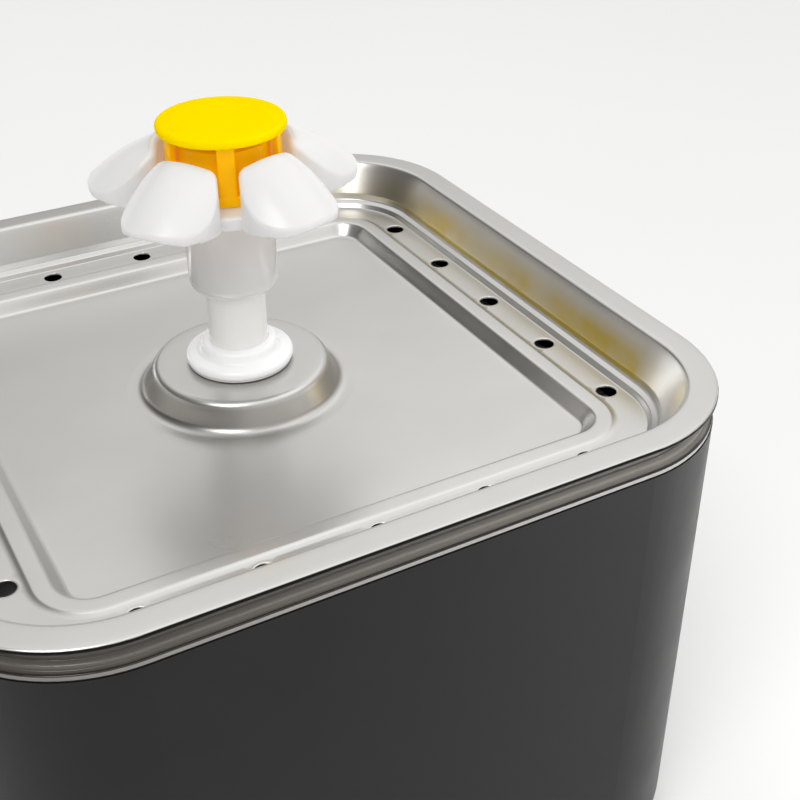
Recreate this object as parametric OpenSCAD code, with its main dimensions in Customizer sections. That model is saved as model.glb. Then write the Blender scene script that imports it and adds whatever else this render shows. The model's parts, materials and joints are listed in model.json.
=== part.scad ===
// Square pet water fountain: a black tank with a clear rim, a pressed steel drinking tray,
// a flower spout on a stem, and a submerged pump and filter below the tray.
// Millimetres, +Z up, origin on the floor under the centre.

/* [Outline] */
// Width and depth over the tray's flange
side = 190; // [182:1:230]
// Corner radius of the tray's flange, seen from above
corner_r = 36.3; // [33:0.1:42]
// Height of the tank, without its feet
body_h = 139.8; // [125:1:180]
// Height of the rubber feet under the tank
foot_h = 2; // [1:0.5:4]
// Height of the clear rim that shows between tank and tray
rim_h = 7.4; // [6.5:0.1:12]

/* [Tank] */
// How far the tank's sides stay inside the flange's edge
body_inset = 0.4; // [0.2:0.1:0.8]
// Wall of the tank
body_wall = 2.4; // [2:0.1:3.2]
// Radius of the tank's bottom edge
bottom_r = 16; // [10:1:20]
// Thickness of the ribs that carry the filter basket
rib_t = 3; // [2:0.5:5]
// Distance of the ribs from where the rounded corners begin
rib_in = 23.7; // [10:0.1:32]
// Depth of the ribs' tops under the top of the tank
rib_drop = 33.8; // [33.4:0.2:50]
// Radius of a rubber foot
foot_r = 8; // [6:0.5:10]

/* [Clear rim] */
// Wall of the clear rim
ring_wall = 1.5; // [1.2:0.1:2]
// Depth of the rim's skirt inside the tank
ring_skirt = 7.8; // [6:0.1:9]
// Thickness of the small webs inside the rim
web_t = 2.4; // [1.6:0.2:4]
// Distance of the outer webs from where the rounded corners begin
web_in = 2.7; // [1.5:0.1:14]

/* [Tray] */
// Thickness of the steel sheet
sheet = 0.8; // [0.6:0.05:0.9]
// Width of the flat flange
flange_w = 7.1; // [6.5:0.1:9]
// Height of the flange's turned-down edge
lip_h = 1.4; // [1.2:0.1:2]
// Depth of the drain groove under the flange
groove_d = 12.7; // [11:0.1:13.5]
// Depth of the middle panel under the flange
panel_d = 15.7; // [15:0.1:16]
// Radius of a drain hole
drain_r = 2.5; // [1.5:0.1:2.8]
// Drain holes on each side
drain_n = 5; // [3:1:5]
// Distance between drain holes
drain_pitch = 27.3; // [20:0.1:27.6]
// Height of the boss above the panel
boss_h = 7; // [5:0.5:9]
// Radius of the boss at its top
boss_top_r = 21.9; // [20:0.1:24]
// Radius of the boss at its base
boss_base_r = 25.3; // [24.5:0.1:28]

/* [Stem] */
// Outer radius of the stem's tube
tube_r = 7.4; // [6.4:0.1:8]
// Wall of the stem's tube
tube_wall = 1.6; // [1.2:0.1:2]
// Height of the petals' lowest edges above the tray's flange
bloom_z = 35.3; // [31:0.1:47]
// Outer radius of the sleeve under the flower
sleeve_r = 11.1; // [10.9:0.1:13]
// Wall of the sleeve
sleeve_wall = 1.2; // [1:0.1:1.2]
// Length of the sleeve
sleeve_l = 24.6; // [20:0.2:28]
// Outer radius of the collar on the boss
collar_r = 13.6; // [12:0.1:16]
// Height of the collar
collar_h = 5.4; // [4.6:0.1:8]
// Length of the stem's tube below the collar
plug_l = 23; // [20:0.5:24]

/* [Flower] */
// Radius over the petals
petal_r = 33.2; // [31:0.1:35]
// Half the gap between two petals
petal_gap = 2.4; // [2:0.1:3.2]
// Wall of a petal, which is open underneath
petal_wall = 1.8; // [1.4:0.1:2.4]
// Radius of a petal's face along the petal
face_r = 48; // [46:0.5:54]
// Radius of a petal's face across the petal
across_r = 13.4; // [13.2:0.1:15]
// Height of the lip at a petal's tip above the petal's lowest edges
lip_z = 3.1; // [2.4:0.1:3.4]
// Direction of the first gap between petals, in degrees
flower_turn = 250.7; // [0:0.1:360]
// Radius of the yellow cap
cap_r = 15.2; // [14.6:0.1:18]
// Thickness of the yellow cap
cap_t = 2.6; // [2:0.1:4]
// Outer radius of the crown under the cap
crown_r = 13.8; // [13:0.1:14]
// Height of the crown's windows
window_h = 11.9; // [9:0.1:13]
// Width of a leg between two windows
leg_w = 4.2; // [3:0.1:6]

/* [Filter] */
// Space between the filter basket and the tank's wall
basket_gap = 10.2; // [9.6:0.1:14]
// Height of the basket's wall
basket_h = 20; // [16:0.5:21]
// Wall of the basket
basket_wall = 1.6; // [1.2:0.1:2]
// Height of the carbon pack
carbon_h = 9.4; // [6:0.2:9.6]
// Width of the drain slots in the basket and its lid
slot_w = 3.2; // [2:0.1:4]
// Distance between the slots
slot_pitch = 7.2; // [6:0.2:9]

/* [Pump] */
// Width of the pump
pump_w = 44; // [40:1:50]
// Height of the pump's housing
pump_h = 35; // [34.8:0.1:38]
// Length of the pump's motor behind the pump chamber
motor_l = 33; // [31:0.5:40]
// Length of the strainer in front of the pump
strainer_l = 14; // [12:0.5:18]
// Wall of the strainer
strainer_wall = 1.6; // [1.2:0.1:2]
// Radius of the pump chamber
chamber_r = 13; // [12.5:0.1:13.4]
// Radius of the rotor's magnet
magnet_r = 7.2; // [6.4:0.1:7.3]
// Blades on the impeller
blade_n = 6; // [4:1:8]
// Radius of the ceramic shaft
shaft_r = 1.2; // [1:0.05:1.5]
// Wall of the riser tube
riser_wall = 1.4; // [1:0.1:2]

/* [Power lead] */
// Radius of the low-voltage lead
lead_r = 1.9; // [1.5:0.1:2]
// Radius of the power socket's barrel
socket_r = 4.4; // [4:0.1:5]
// Depth of the power socket under the top of the tank
socket_drop = 19.3; // [18.6:0.1:30]

/* [Fits] */
// Gap between pieces that rest on or lift off each other
seat = 0.3; // [0.2:0.05:0.4]
// Gap round a shaft that turns
run = 0.05; // [0.03:0.01:0.08]
// Gap round a tube that plugs in
slip = 0.1; // [0.06:0.01:0.15]

/* [Hidden] */
$fn = 96;
eps = 0.01;

// Plan: every ring-shaped piece is one profile swept round a square with this half width
centre = side/2 - corner_r;
body_half = side/2 - body_inset;
tank_half = body_half - body_wall;

// Heights
body_top = foot_h + body_h;
floor_top = foot_h + body_wall;
ring_top = body_top + rim_h - seat;
flange_z = body_top + rim_h + sheet;
panel_z = flange_z - panel_d;
groove_z = flange_z - groove_d;
boss_z = panel_z + boss_h;
rib_z = body_top - rib_drop;
socket_z = body_top - socket_drop;

// Tray section: distance outwards from the swept square, height, corner radius. The groove
// with the drain holes runs round a low shelf, and a short slope leads up to the wall.
shelf_in = corner_r - 27.8;
shelf_out = corner_r - 23.9;
shelf_rise = 0.6;
groove_in = shelf_out + 1;
groove_out = corner_r - 15.6;
slope_w = 2.6;
slope_h = 1.9;
tray_path = [
    [0, panel_z, 0],
    [shelf_in - 2.9, panel_z, 1.4],
    [shelf_in, groove_z + shelf_rise, 1.2],
    [shelf_out, groove_z + shelf_rise, 1.2],
    [groove_in, groove_z, 0.6],
    [groove_out, groove_z, 0.8],
    [groove_out + slope_w, groove_z + slope_h, 1],
    [groove_out + slope_w + 0.7, groove_z + 2*slope_h, 1.2],
    [corner_r - flange_w, flange_z, 1.4],
    [corner_r, flange_z, 1],
    [corner_r, flange_z - lip_h, 0]
];
drain_row = centre + (groove_in + groove_out)/2;
boss_hole_r = tube_r + seat + slip;
boss_path = [
    [boss_hole_r, boss_z, 0],
    [boss_top_r, boss_z, 1.2],
    [boss_base_r, panel_z, 1.6],
    [boss_base_r + 4, panel_z, 0]
];
boss_skirt_r = boss_base_r + 3;

// Stem and flower
gasket_t = 0.6;
gasket_z = boss_z + seat;
collar_z = gasket_z + gasket_t;
plug_z = boss_z - plug_l;
petal_z = flange_z + bloom_z;
plate_t = 1.9;
plate_z = petal_z + 1.3;
plate_top = plate_z + plate_t;
heart_r = 19;
heart_wall = 1.6;
sleeve_z = plate_z - sleeve_l;
sleeve_bore = sleeve_r - sleeve_wall;
tube_top = sleeve_z + sleeve_l*0.45;
spigot_r = sleeve_bore - seat;
spigot_bore = spigot_r - 1.3;
crown_z = plate_top + seat;
crown_floor = 1.6;
window_z = crown_z + crown_floor + 0.8;
cap_z = window_z + window_h;
petal_n = 5;
petal_half = 180/petal_n;
petal_in = crown_r + 1.2;
petal_corner = 9;
petal_heel = 2;
petal_tip = 16;
face_z = petal_z - 30;
lip_from = petal_r - 4.8;
lip_arch = 25.5;

// Filter
rib_hold = 3;
basket_z = rib_z + seat;
basket_half = tank_half - basket_gap;
basket_x = basket_half - centre;
basket_top = basket_z + basket_h;
riser_bore = tube_r + seat;
riser_r = riser_bore + riser_wall;
chimney_bore = riser_r + 1;
chimney_r = chimney_bore + 1.5;
pad_half = basket_half - basket_wall - seat;
carbon_z = basket_z + basket_wall + seat;
fibre_z = carbon_z + carbon_h + seat;
cover_t = 1.6;
cover_lip = 2;
cover_z = basket_top + seat;
fibre_h = cover_z - cover_lip - seat - fibre_z;

// Pump: the chamber stands under the stem, the motor lies behind it
cup_h = 4.6;
pump_z = floor_top + cup_h;
pump_r = 5;
chamber_roof = 1.8;
rotor_z = pump_z + pump_h - chamber_roof - chamber_r;
chamber_front = -6;
chamber_back = 5;
well_r = magnet_r + 0.5;
well_wall = 1.2;
well_end = chamber_back + 25;
pump_back = chamber_back + motor_l;
cover_front = chamber_front - 2;
strainer_back = chamber_front - seat;
strainer_front = strainer_back - strainer_l;
eye_r = 5.4;
hub_r = 3.2;
bush_r = 2.6;
bush_l = 3;
shaft_front = cover_front + 0.4;
shaft_end = well_end + 1;
nozzle_r = riser_bore - slip;
nozzle_bore = 4.6;
nozzle_z = pump_z + pump_h;
nozzle_top = nozzle_z + 16;
riser_z = nozzle_z + 2.3;
riser_top = boss_z - 11;
dial_r = 7.5;
dial_knob = 3.2;
dial_stem = 2.4;
dial_z = rotor_z - 9;
dial_slot = dial_knob + 0.2;
shutter_t = 1.2;
core_leg = 6;
core_front = 12;
core_back = 26;
core_in = well_r + well_wall + 0.3;
coil_w = 2*core_in - 3;
coil_t = 1.7;
pump_floor = 1.9;
yoke_z = pump_z + pump_floor + coil_t;
yoke_h = rotor_z - core_in - 0.7 - coil_t - yoke_z;

// Power socket in the tank's back wall, with its lead along the back
socket_pad_r = 9.5;
socket_pad_t = 1;
socket_pocket = 1.8;
socket_flange_r = 6.8;
socket_flange_t = 1;
seal_t = 0.6;
wall_out = body_half - socket_pocket;
wall_in = tank_half - socket_pad_t;
nut_t = 2.6;
socket_end = wall_in - nut_t - 4;
tail_z = socket_z - 6.5;
tail_y = socket_end + lead_r;
lead_y = tank_half - 5;
lead_z = pump_z + 9;
floor_z = floor_top + 4.8;
lead_route = [
    [0, pump_back - 3.5, lead_z], [0, pump_back + 2, lead_z],
    [0, pump_back + 8, lead_z - 3], [0, pump_back + 15, floor_z + 2],
    [0, pump_back + 22, floor_z], [0, lead_y - 17, floor_z + 0.5],
    [0, lead_y - 9, floor_z + 4], [0, lead_y - 3.2, floor_z + 11],
    [0, lead_y - 0.6, floor_z + 19], [0, lead_y, floor_z + 27],
    [0, lead_y, socket_z/2], [0, lead_y, socket_z - 32], [0, lead_y, socket_z - 18],
    [0, (lead_y + tail_y)/2, socket_z - 14], [0, tail_y, socket_z - 10],
    [0, tail_y, tail_z]
];
clip_h = 6;
clip_w = 2*lead_r + 4.2;
clip_lip = lead_r + 1.5;
clip_mouth = 1.5*lead_r;
clip_z = [socket_z/3, socket_z*2/3];

// ---- shared functions -------------------------------------------------------------------

function unit(v) = v/norm(v);
function flat(p) = [p[0], p[1]];
function turn_between(a, b) = let (d = b - a) d > 180 ? d - 360 : d < -180 ? d + 360 : d;
function arc(at, r, from, to, n) =
    [for (i = [0:n]) at + r*[cos(from + (to - from)*i/n), sin(from + (to - from)*i/n)]];
function reversed(line) = [for (i = [len(line) - 1:-1:0]) line[i]];

// The arc that rounds the corner at b between a and c
function corner_arc(a, b, c, r, n) =
    let (p = unit(a - b), q = unit(c - b), half = acos(p*q)/2,
         at = b + unit(p + q)*r/sin(half), run_l = r/tan(half),
         s = b + p*run_l - at, e = b + q*run_l - at,
         from = atan2(s[1], s[0]), by = turn_between(from, atan2(e[1], e[0])))
    arc(at, r, from, from + by, n);

// A path of [x, y, radius] corners as a line of points
function rounded(path, n = 4) =
    [for (i = [0:len(path) - 1])
        each i == 0 || i == len(path) - 1 || path[i][2] == 0
            ? [flat(path[i])]
            : corner_arc(flat(path[i - 1]), flat(path[i]), flat(path[i + 1]), path[i][2], n)];

// The line that runs t to the right of a line
function beside(line, t) =
    [for (i = [0:len(line) - 1])
        let (a = unit(line[max(i, 1)] - line[max(i, 1) - 1]),
             b = unit(line[min(i, len(line) - 2) + 1] - line[min(i, len(line) - 2)]),
             na = [a[1], -a[0]], nb = [b[1], -b[0]], m = unit(na + nb))
        line[i] + m*t/(m*na)];
function thick(line, t) = concat(line, reversed(beside(line, t)));

// ---- shared shapes ----------------------------------------------------------------------

// Sweeps a 2D section (x outwards from the square, y up) round the rounded square
module swept(half) {
    for (k = [0:3])
        rotate(90*k) {
            translate([half, half, 0])
                rotate_extrude(angle = 90) children();
            translate([half, half, 0])
                rotate([90, 0, 0])
                    linear_extrude(2*half) children();
        }
}

module slab(half, z, t) {
    translate([-half, -half, z])
        cube([2*half, 2*half, t]);
}

module tube(r_out, r_in, z, h) {
    translate([0, 0, z])
        difference() {
            cylinder(r = r_out, h = h);
            translate([0, 0, -eps])
                cylinder(r = r_in, h = h + 2*eps);
        }
}

// A block along Y with rounded long edges
module rounded_bar(w, h, r, y_from, y_to, z) {
    translate([0, y_to, z + h/2])
        rotate([90, 0, 0])
            linear_extrude(y_to - y_from)
                rounded_rect(w, h, r);
}

module rounded_rect(w, h, r) {
    square([w - 2*r, h], center = true);
    square([w, h - 2*r], center = true);
    for (sx = [-1, 1], sy = [-1, 1])
        translate([sx*(w/2 - r), sy*(h/2 - r)])
            circle(r = r);
}

// A rod along Y
module rod(r, y_from, y_to, z, x = 0) {
    translate([x, y_to, z])
        rotate([90, 0, 0])
            cylinder(r = r, h = y_to - y_from);
}

// Slots in a square plate, kept clear of the middle
module slot_grid(half, z, t, clear_r) {
    count = floor((half - 4)/slot_pitch);
    for (i = [-count:count], s = [-1, 1])
        let (x = i*slot_pitch,
             from = abs(x) < clear_r + slot_w ? clear_r + slot_w : slot_w)
            translate([x - slot_w/2, s > 0 ? from : -half + 4, z])
                cube([slot_w, half - 4 - from, t]);
}

// ---- tank -------------------------------------------------------------------------------

function body_line(inset) = rounded([
    [0, foot_h + inset, 0],
    [body_half - centre - inset, foot_h + inset, bottom_r - inset],
    [body_half - centre - inset, body_top, 0]
], 12);

module rib() {
    translate([centre, rib_t/2, 0])
        rotate([90, 0, 0])
            linear_extrude(rib_t)
                intersection() {
                    polygon(concat(body_line(body_wall/2), [[0, body_top]]));
                    translate([basket_x - rib_hold, 0])
                        square([corner_r, rib_z]);
                }
}

module body_tank() {
    color([0.10, 0.10, 0.11])
        difference() {
            union() {
                swept(centre)
                    polygon(concat(body_line(0), reversed(body_line(body_wall))));
                slab(centre, foot_h, body_wall);
                for (k = [0:3], s = [-1, 1])
                    rotate(90*k)
                        translate([0, s*(centre - rib_in), 0])
                            rib();
                rod(socket_pad_r, wall_in, tank_half + body_wall/2, socket_z);
            }
            rod(socket_r + slip, wall_in - 1, body_half + 1, socket_z);
            rod(socket_flange_r + seat, wall_out, body_half + 1, socket_z);
        }
}

module foot_pads() {
    color([0.16, 0.16, 0.17])
        for (sx = [-1, 1], sy = [-1, 1])
            translate([sx*centre, sy*centre, 0])
                cylinder(r = foot_r, h = foot_h);
}

// ---- clear rim --------------------------------------------------------------------------

module rim_ring() {
    bore = tank_half - seat - 0.1 - ring_wall - centre;
    step = [body_half - 0.2 - centre, body_half - 1.4 - centre];
    color([0.75, 0.75, 0.73, 0.5]) {
        swept(centre)
            polygon([
                [bore, body_top - ring_skirt],
                [bore + ring_wall + 0.1, body_top - ring_skirt],
                [bore + ring_wall + 0.1, body_top],
                [step[1] + 0.2, body_top],
                [step[1] + 0.2, body_top + 0.4],
                [step[0], body_top + 0.4],
                [step[0], body_top + 1.5],
                [step[1], body_top + 1.7],
                [step[1], body_top + 2.8],
                [bore + ring_wall, body_top + 3.1],
                [bore + ring_wall, ring_top],
                [bore, ring_top]
            ]);
        for (k = [0:3], i = [-1:1])
            rotate(90*k)
                translate([centre, i*(centre - web_in) + web_t/2, 0])
                    rotate([90, 0, 0])
                        linear_extrude(web_t)
                            polygon([
                                [bore + ring_wall/2, ring_top],
                                [bore - 1, ring_top],
                                [bore - 4.2, body_top],
                                [bore - 4.2, body_top - ring_skirt/3],
                                [bore + ring_wall/2, body_top - ring_skirt + 1]
                            ]);
    }
}

// ---- tray -------------------------------------------------------------------------------

module tray_lid() {
    color([0.78, 0.78, 0.77])
        difference() {
            union() {
                swept(centre)
                    polygon(thick(rounded(tray_path), sheet));
                difference() {
                    slab(centre, panel_z - sheet, sheet);
                    translate([0, 0, panel_z - sheet - 1])
                        cylinder(r = boss_skirt_r, h = sheet + 2);
                }
                rotate_extrude()
                    polygon(thick(rounded(boss_path), sheet));
            }
            for (k = [0:3], i = [0:drain_n - 1])
                rotate(90*k)
                    translate([drain_row, (i - (drain_n - 1)/2)*drain_pitch, groove_z - sheet - 1])
                        cylinder(r = drain_r, h = sheet + 2);
        }
}

module boss_gasket() {
    color([0.88, 0.88, 0.87])
        tube(collar_r - 0.5, tube_r + slip, gasket_z, gasket_t);
}

// ---- stem -------------------------------------------------------------------------------

module stem_collar() {
    neck = collar_r - 4;
    color([0.95, 0.95, 0.94])
        rotate_extrude()
            polygon(concat(
                [[tube_r + slip, collar_z], [collar_r - 0.4, collar_z]],
                arc([collar_r - 0.9, collar_z + 1.1], 0.9, -30, 90, 5),
                arc([neck + 1.4, collar_z + 3.2], 1.2, 270, 180, 5),
                arc([neck - 0.9, collar_z + collar_h - 1], 1, 0, 90, 5),
                [[tube_r + slip, collar_z + collar_h]]
            ));
}

module stem_tube() {
    color([0.90, 0.90, 0.89])
        tube(tube_r, tube_r - tube_wall, plug_z, tube_top - plug_z);
}

module stem_sleeve() {
    color([0.88, 0.88, 0.87])
        rotate_extrude()
            polygon(concat(
                [[tube_r + slip, sleeve_z], [sleeve_r - 3, sleeve_z]],
                arc([sleeve_r - 3, sleeve_z + 3], 3, -80, 0, 6),
                [
                    [sleeve_r, plate_z],
                    [sleeve_bore, plate_z],
                    [sleeve_bore, sleeve_z + 3.4],
                    [tube_r + slip, sleeve_z + 2]
                ]
            ));
}

// ---- flower -----------------------------------------------------------------------------

// Plan of one petal: all its edges are arcs, tangent to the straight sides of the gaps
function petal_outline(inset) =
    let (gap = petal_gap + inset, in = petal_in + inset, rc = petal_corner - inset,
         tip = petal_tip - inset, tip_x = petal_r - petal_tip, ri = petal_heel,
         off = gap + rc - tip_x*sin(petal_half),
         along = tip_x*cos(petal_half) + sqrt(pow(tip - rc, 2) - off*off),
         c_out = along*[cos(petal_half), sin(petal_half)]
             + (gap + rc)*[sin(petal_half), -cos(petal_half)],
         a_out = atan2(c_out[1], c_out[0] - tip_x),
         a_in = petal_half - asin((gap + ri)/(in + ri)),
         c_in = (in + ri)*[cos(a_in), sin(a_in)],
         upper = concat(
             arc([tip_x, 0], tip, 0, a_out, 4),
             arc(c_out, rc, a_out, petal_half + 90, 8),
             arc(c_in, ri, petal_half + 90, a_in + 180, 4),
             arc([0, 0], in, a_in, 0, 3)))
    concat(upper, [for (p = reversed(upper)) [p[0], -p[1]]]);

// The face of a petal is part of a ring lying on its side
module petal_block(inset, z) {
    intersection() {
        translate([0, 0, z])
            linear_extrude(across_r + 10)
                polygon(petal_outline(inset));
        translate([0, 0, face_z])
            rotate([90, 0, 0])
                rotate_extrude()
                    translate([face_r - across_r, 0])
                        circle(r = across_r - inset);
    }
}

// Below the lip a petal stops short of its tip
module lip_cut() {
    difference() {
        translate([0, 0, petal_z + lip_z - lip_arch])
            rotate([0, 90, 0])
                cylinder(r = lip_arch, h = petal_r + 10);
        cylinder(r = lip_from, h = 3*petal_z, center = true);
    }
}

module flower_bloom() {
    color([0.96, 0.96, 0.95])
        rotate(flower_turn + petal_half)
            union() {
                tube(heart_r, spigot_r + seat, plate_z, plate_t);
                tube(heart_r, heart_r - heart_wall, petal_z, plate_z + 1 - petal_z);
                for (k = [0:petal_n - 1])
                    rotate(k*2*petal_half)
                        difference() {
                            petal_block(0, petal_z);
                            petal_block(petal_wall, petal_z - 1);
                            lip_cut();
                        }
            }
}

module spout_crown() {
    half_window = petal_half - asin(leg_w/2/crown_r);
    color([0.98, 0.76, 0.03])
        rotate(flower_turn + petal_half)
            difference() {
                rotate_extrude()
                    polygon(concat(
                        [
                            [spigot_bore, plate_z - 8], [spigot_r, plate_z - 8],
                            [spigot_r, crown_z], [crown_r, crown_z], [crown_r, cap_z],
                            [cap_r - 0.8, cap_z]
                        ],
                        arc([cap_r - 1, cap_z + 1], 1, -60, 0, 3),
                        arc([cap_r - 1.2, cap_z + cap_t - 1.2], 1.2, 0, 90, 5),
                        [
                            [0, cap_z + cap_t], [0, cap_z + 0.8],
                            [crown_r - 1.6, cap_z + 0.8],
                            [crown_r - 1.6, crown_z + crown_floor],
                            [spigot_bore, crown_z + crown_floor]
                        ]
                    ));
                for (k = [0:petal_n - 1])
                    rotate(k*2*petal_half)
                        translate([0, 0, window_z])
                            linear_extrude(window_h)
                                polygon([
                                    [0, 0],
                                    20*[cos(half_window), -sin(half_window)],
                                    [24, 0],
                                    20*[cos(half_window), sin(half_window)]
                                ]);
            }
}

// ---- filter -----------------------------------------------------------------------------

module filter_basket() {
    color([0.88, 0.89, 0.90])
        difference() {
            union() {
                swept(centre)
                    polygon([
                        [0, basket_z], [basket_x, basket_z], [basket_x, basket_top],
                        [basket_x - basket_wall, basket_top],
                        [basket_x - basket_wall, basket_z + basket_wall],
                        [0, basket_z + basket_wall]
                    ]);
                slab(centre, basket_z, basket_wall);
                translate([0, 0, basket_z])
                    cylinder(r = chimney_r, h = basket_h);
            }
            translate([0, 0, basket_z - 1])
                cylinder(r = chimney_bore, h = basket_h + 2);
            slot_grid(centre, basket_z - 1, basket_wall + 2, chimney_r);
        }
}

module filter_cover() {
    color([0.90, 0.91, 0.92])
        difference() {
            union() {
                swept(centre)
                    polygon([
                        [0, cover_z], [basket_x - basket_wall - seat - 1.4, cover_z],
                        [basket_x - basket_wall - seat - 1.4, cover_z - cover_lip],
                        [basket_x - basket_wall - seat, cover_z - cover_lip],
                        [basket_x - basket_wall - seat, cover_z],
                        [basket_x, cover_z], [basket_x, cover_z + cover_t],
                        [0, cover_z + cover_t]
                    ]);
                slab(centre, cover_z, cover_t);
            }
            translate([0, 0, cover_z - 1])
                cylinder(r = chimney_bore, h = cover_t + 2);
            slot_grid(centre, cover_z - 1, cover_t + 2, chimney_r);
        }
}

module filter_pad(z, h) {
    pad_x = pad_half - centre;
    difference() {
        union() {
            swept(centre)
                translate([0, z])
                    square([pad_x, h]);
            slab(centre, z, h);
        }
        translate([0, 0, z - 1])
            cylinder(r = chimney_r + seat, h = h + 2);
    }
}

module fibre_pad() {
    color([0.93, 0.94, 0.95])
        filter_pad(fibre_z, fibre_h);
}

module carbon_pack() {
    color([0.15, 0.15, 0.16])
        filter_pad(carbon_z, carbon_h);
}

// ---- pump -------------------------------------------------------------------------------

module stator_space(grow) {
    for (s = [-1, 1])
        translate([s > 0 ? core_in - grow : -core_in - core_leg - grow, core_front - grow, yoke_z - grow])
            cube([core_leg + 2*grow, core_back - core_front + 2*grow, rotor_z + 8 - yoke_z + 2*grow]);
    translate([-core_in - grow, core_front - grow, yoke_z - grow])
        cube([2*core_in + 2*grow, core_back - core_front + 2*grow, yoke_h + 2*grow]);
}

module coil_space() {
    translate([-coil_w/2, core_front - coil_t, yoke_z - coil_t])
        cube([coil_w, core_back - core_front + 2*coil_t, yoke_h + 2*coil_t]);
}

module pump_housing() {
    color([0.13, 0.13, 0.14])
        difference() {
            rounded_bar(pump_w, pump_h, pump_r, chamber_front, pump_back, pump_z);
            rod(chamber_r, chamber_front - 1, chamber_back, rotor_z);
            rod(well_r, chamber_front, well_end, rotor_z);
            rod(bush_r, well_end - 1, well_end + bush_l, rotor_z);
            translate([0, 0, rotor_z])
                cylinder(r = nozzle_bore, h = pump_h);
            stator_space(0);
            coil_space();
            rod(lead_r + slip, pump_back - 4, pump_back + 1, lead_z);
        }
}

module stator_core() {
    color([0.55, 0.56, 0.58])
        stator_space(0);
}

module stator_coil() {
    color([0.72, 0.38, 0.16])
        difference() {
            coil_space();
            translate([-core_in, core_front, yoke_z])
                cube([2*core_in, core_back - core_front, yoke_h]);
        }
}

module volute_cover() {
    color([0.16, 0.16, 0.17])
        difference() {
            union() {
                rounded_bar(
                    pump_w - 2*strainer_wall - 2*seat, pump_h - 2*strainer_wall - 2*seat,
                    pump_r - strainer_wall - seat, cover_front, chamber_front,
                    pump_z + strainer_wall + seat
                );
                rod(bush_r + 1.2, cover_front, cover_front + bush_l, rotor_z);
            }
            difference() {
                rod(eye_r, cover_front - 1, chamber_front + 1, rotor_z);
                rod(bush_r + 1.2, cover_front - 2, chamber_front + 2, rotor_z);
                for (a = [0, 120, 240])
                    translate([0, 0, rotor_z])
                        rotate([0, a, 0])
                            translate([-0.7, cover_front - 2, 0])
                                cube([1.4, chamber_front - cover_front + 4, eye_r + 1]);
            }
            rod(bush_r, shaft_front, cover_front + bush_l + 1, rotor_z);
            rod(shaft_r + run, cover_front - 1, shaft_front + 1, rotor_z);
        }
}

module impeller_rotor() {
    blade_from = cover_front + bush_l + 0.6;
    color([0.20, 0.22, 0.26])
        difference() {
            union() {
                rod(magnet_r, chamber_back + 0.6, well_end - 0.6, rotor_z);
                rod(hub_r, blade_from, chamber_back + 1, rotor_z);
                for (k = [0:blade_n - 1])
                    translate([0, 0, rotor_z])
                        rotate([0, k*360/blade_n, 0])
                            translate([-0.6, blade_from, 0])
                                cube([1.2, chamber_back - 0.4 - blade_from, chamber_r - 1.2]);
            }
            rod(shaft_r + run, blade_from - 1, well_end, rotor_z);
        }
}

module rotor_shaft() {
    color([0.92, 0.91, 0.88])
        rod(shaft_r, shaft_front + 0.1, shaft_end, rotor_z);
}

module shaft_bushes() {
    color([0.25, 0.25, 0.26])
        for (y = [shaft_front + 0.6, well_end])
            difference() {
                rod(bush_r, y, y + bush_l - 1, rotor_z);
                rod(shaft_r, y - 1, y + bush_l, rotor_z);
            }
}

module pump_strainer() {
    bar_pitch = 4.4;
    bars = floor((pump_w/2 - 6)/bar_pitch);
    color([0.12, 0.12, 0.13])
        difference() {
            rounded_bar(pump_w, pump_h, pump_r, strainer_front, strainer_back, pump_z);
            rounded_bar(
                pump_w - 2*strainer_wall, pump_h - 2*strainer_wall, pump_r - strainer_wall,
                strainer_front + strainer_wall, strainer_back + 1, pump_z + strainer_wall
            );
            for (i = [-bars:bars])
                translate([i*bar_pitch - 1.1, strainer_front - 1, rotor_z + 1])
                    cube([2.2, strainer_wall + 2, pump_z + pump_h - 4 - rotor_z - 1]);
            for (a = [45, 135])
                translate([0, 0, dial_z])
                    rotate([0, a, 0])
                        translate([dial_slot, strainer_front - 1, -1.2])
                            cube([dial_r - 1 - dial_slot, strainer_wall + 2, 2.4]);
            rod(dial_stem + run, strainer_front - 1, strainer_front + 3, dial_z);
        }
}

// A knob with a pointer in front, and a half disc behind the strainer's wall
module flow_dial() {
    shutter_y = strainer_front + strainer_wall + seat;
    color([0.75, 0.76, 0.78])
        union() {
            rod(dial_knob, strainer_front - seat - 2.4, strainer_front - seat, dial_z);
            translate([-1, strainer_front - seat - 2, dial_z])
                cube([2, 2, dial_r]);
            rod(dial_stem, strainer_front - 1, shutter_y + 0.6, dial_z);
            intersection() {
                rod(dial_r - 0.5, shutter_y, shutter_y + shutter_t, dial_z);
                translate([-dial_r, shutter_y - 1, dial_z - 1])
                    cube([2*dial_r, 4, dial_r + 1]);
            }
        }
}

module intake_foam() {
    foam_w = pump_w - 2*strainer_wall - 2*seat;
    foam_h = pump_h - 2*strainer_wall - 2*seat;
    foam_front = strainer_front + strainer_wall + seat + shutter_t + seat;
    color([0.24, 0.25, 0.27])
        rounded_bar(
            foam_w, foam_h, pump_r - strainer_wall - seat, foam_front, cover_front - seat,
            pump_z + strainer_wall + seat
        );
}

module outlet_nozzle() {
    color([0.86, 0.87, 0.88])
        difference() {
            union() {
                translate([0, 0, nozzle_z])
                    cylinder(r = nozzle_r + 1.4, h = 2);
                translate([0, 0, nozzle_z])
                    cylinder(r = nozzle_r, h = nozzle_top - nozzle_z);
            }
            translate([0, 0, nozzle_z - 1])
                cylinder(r = nozzle_bore, h = nozzle_top - nozzle_z + 2);
        }
}

module riser_tube() {
    color([0.82, 0.83, 0.84])
        tube(riser_r, riser_bore, riser_z, riser_top - riser_z);
}

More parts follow.
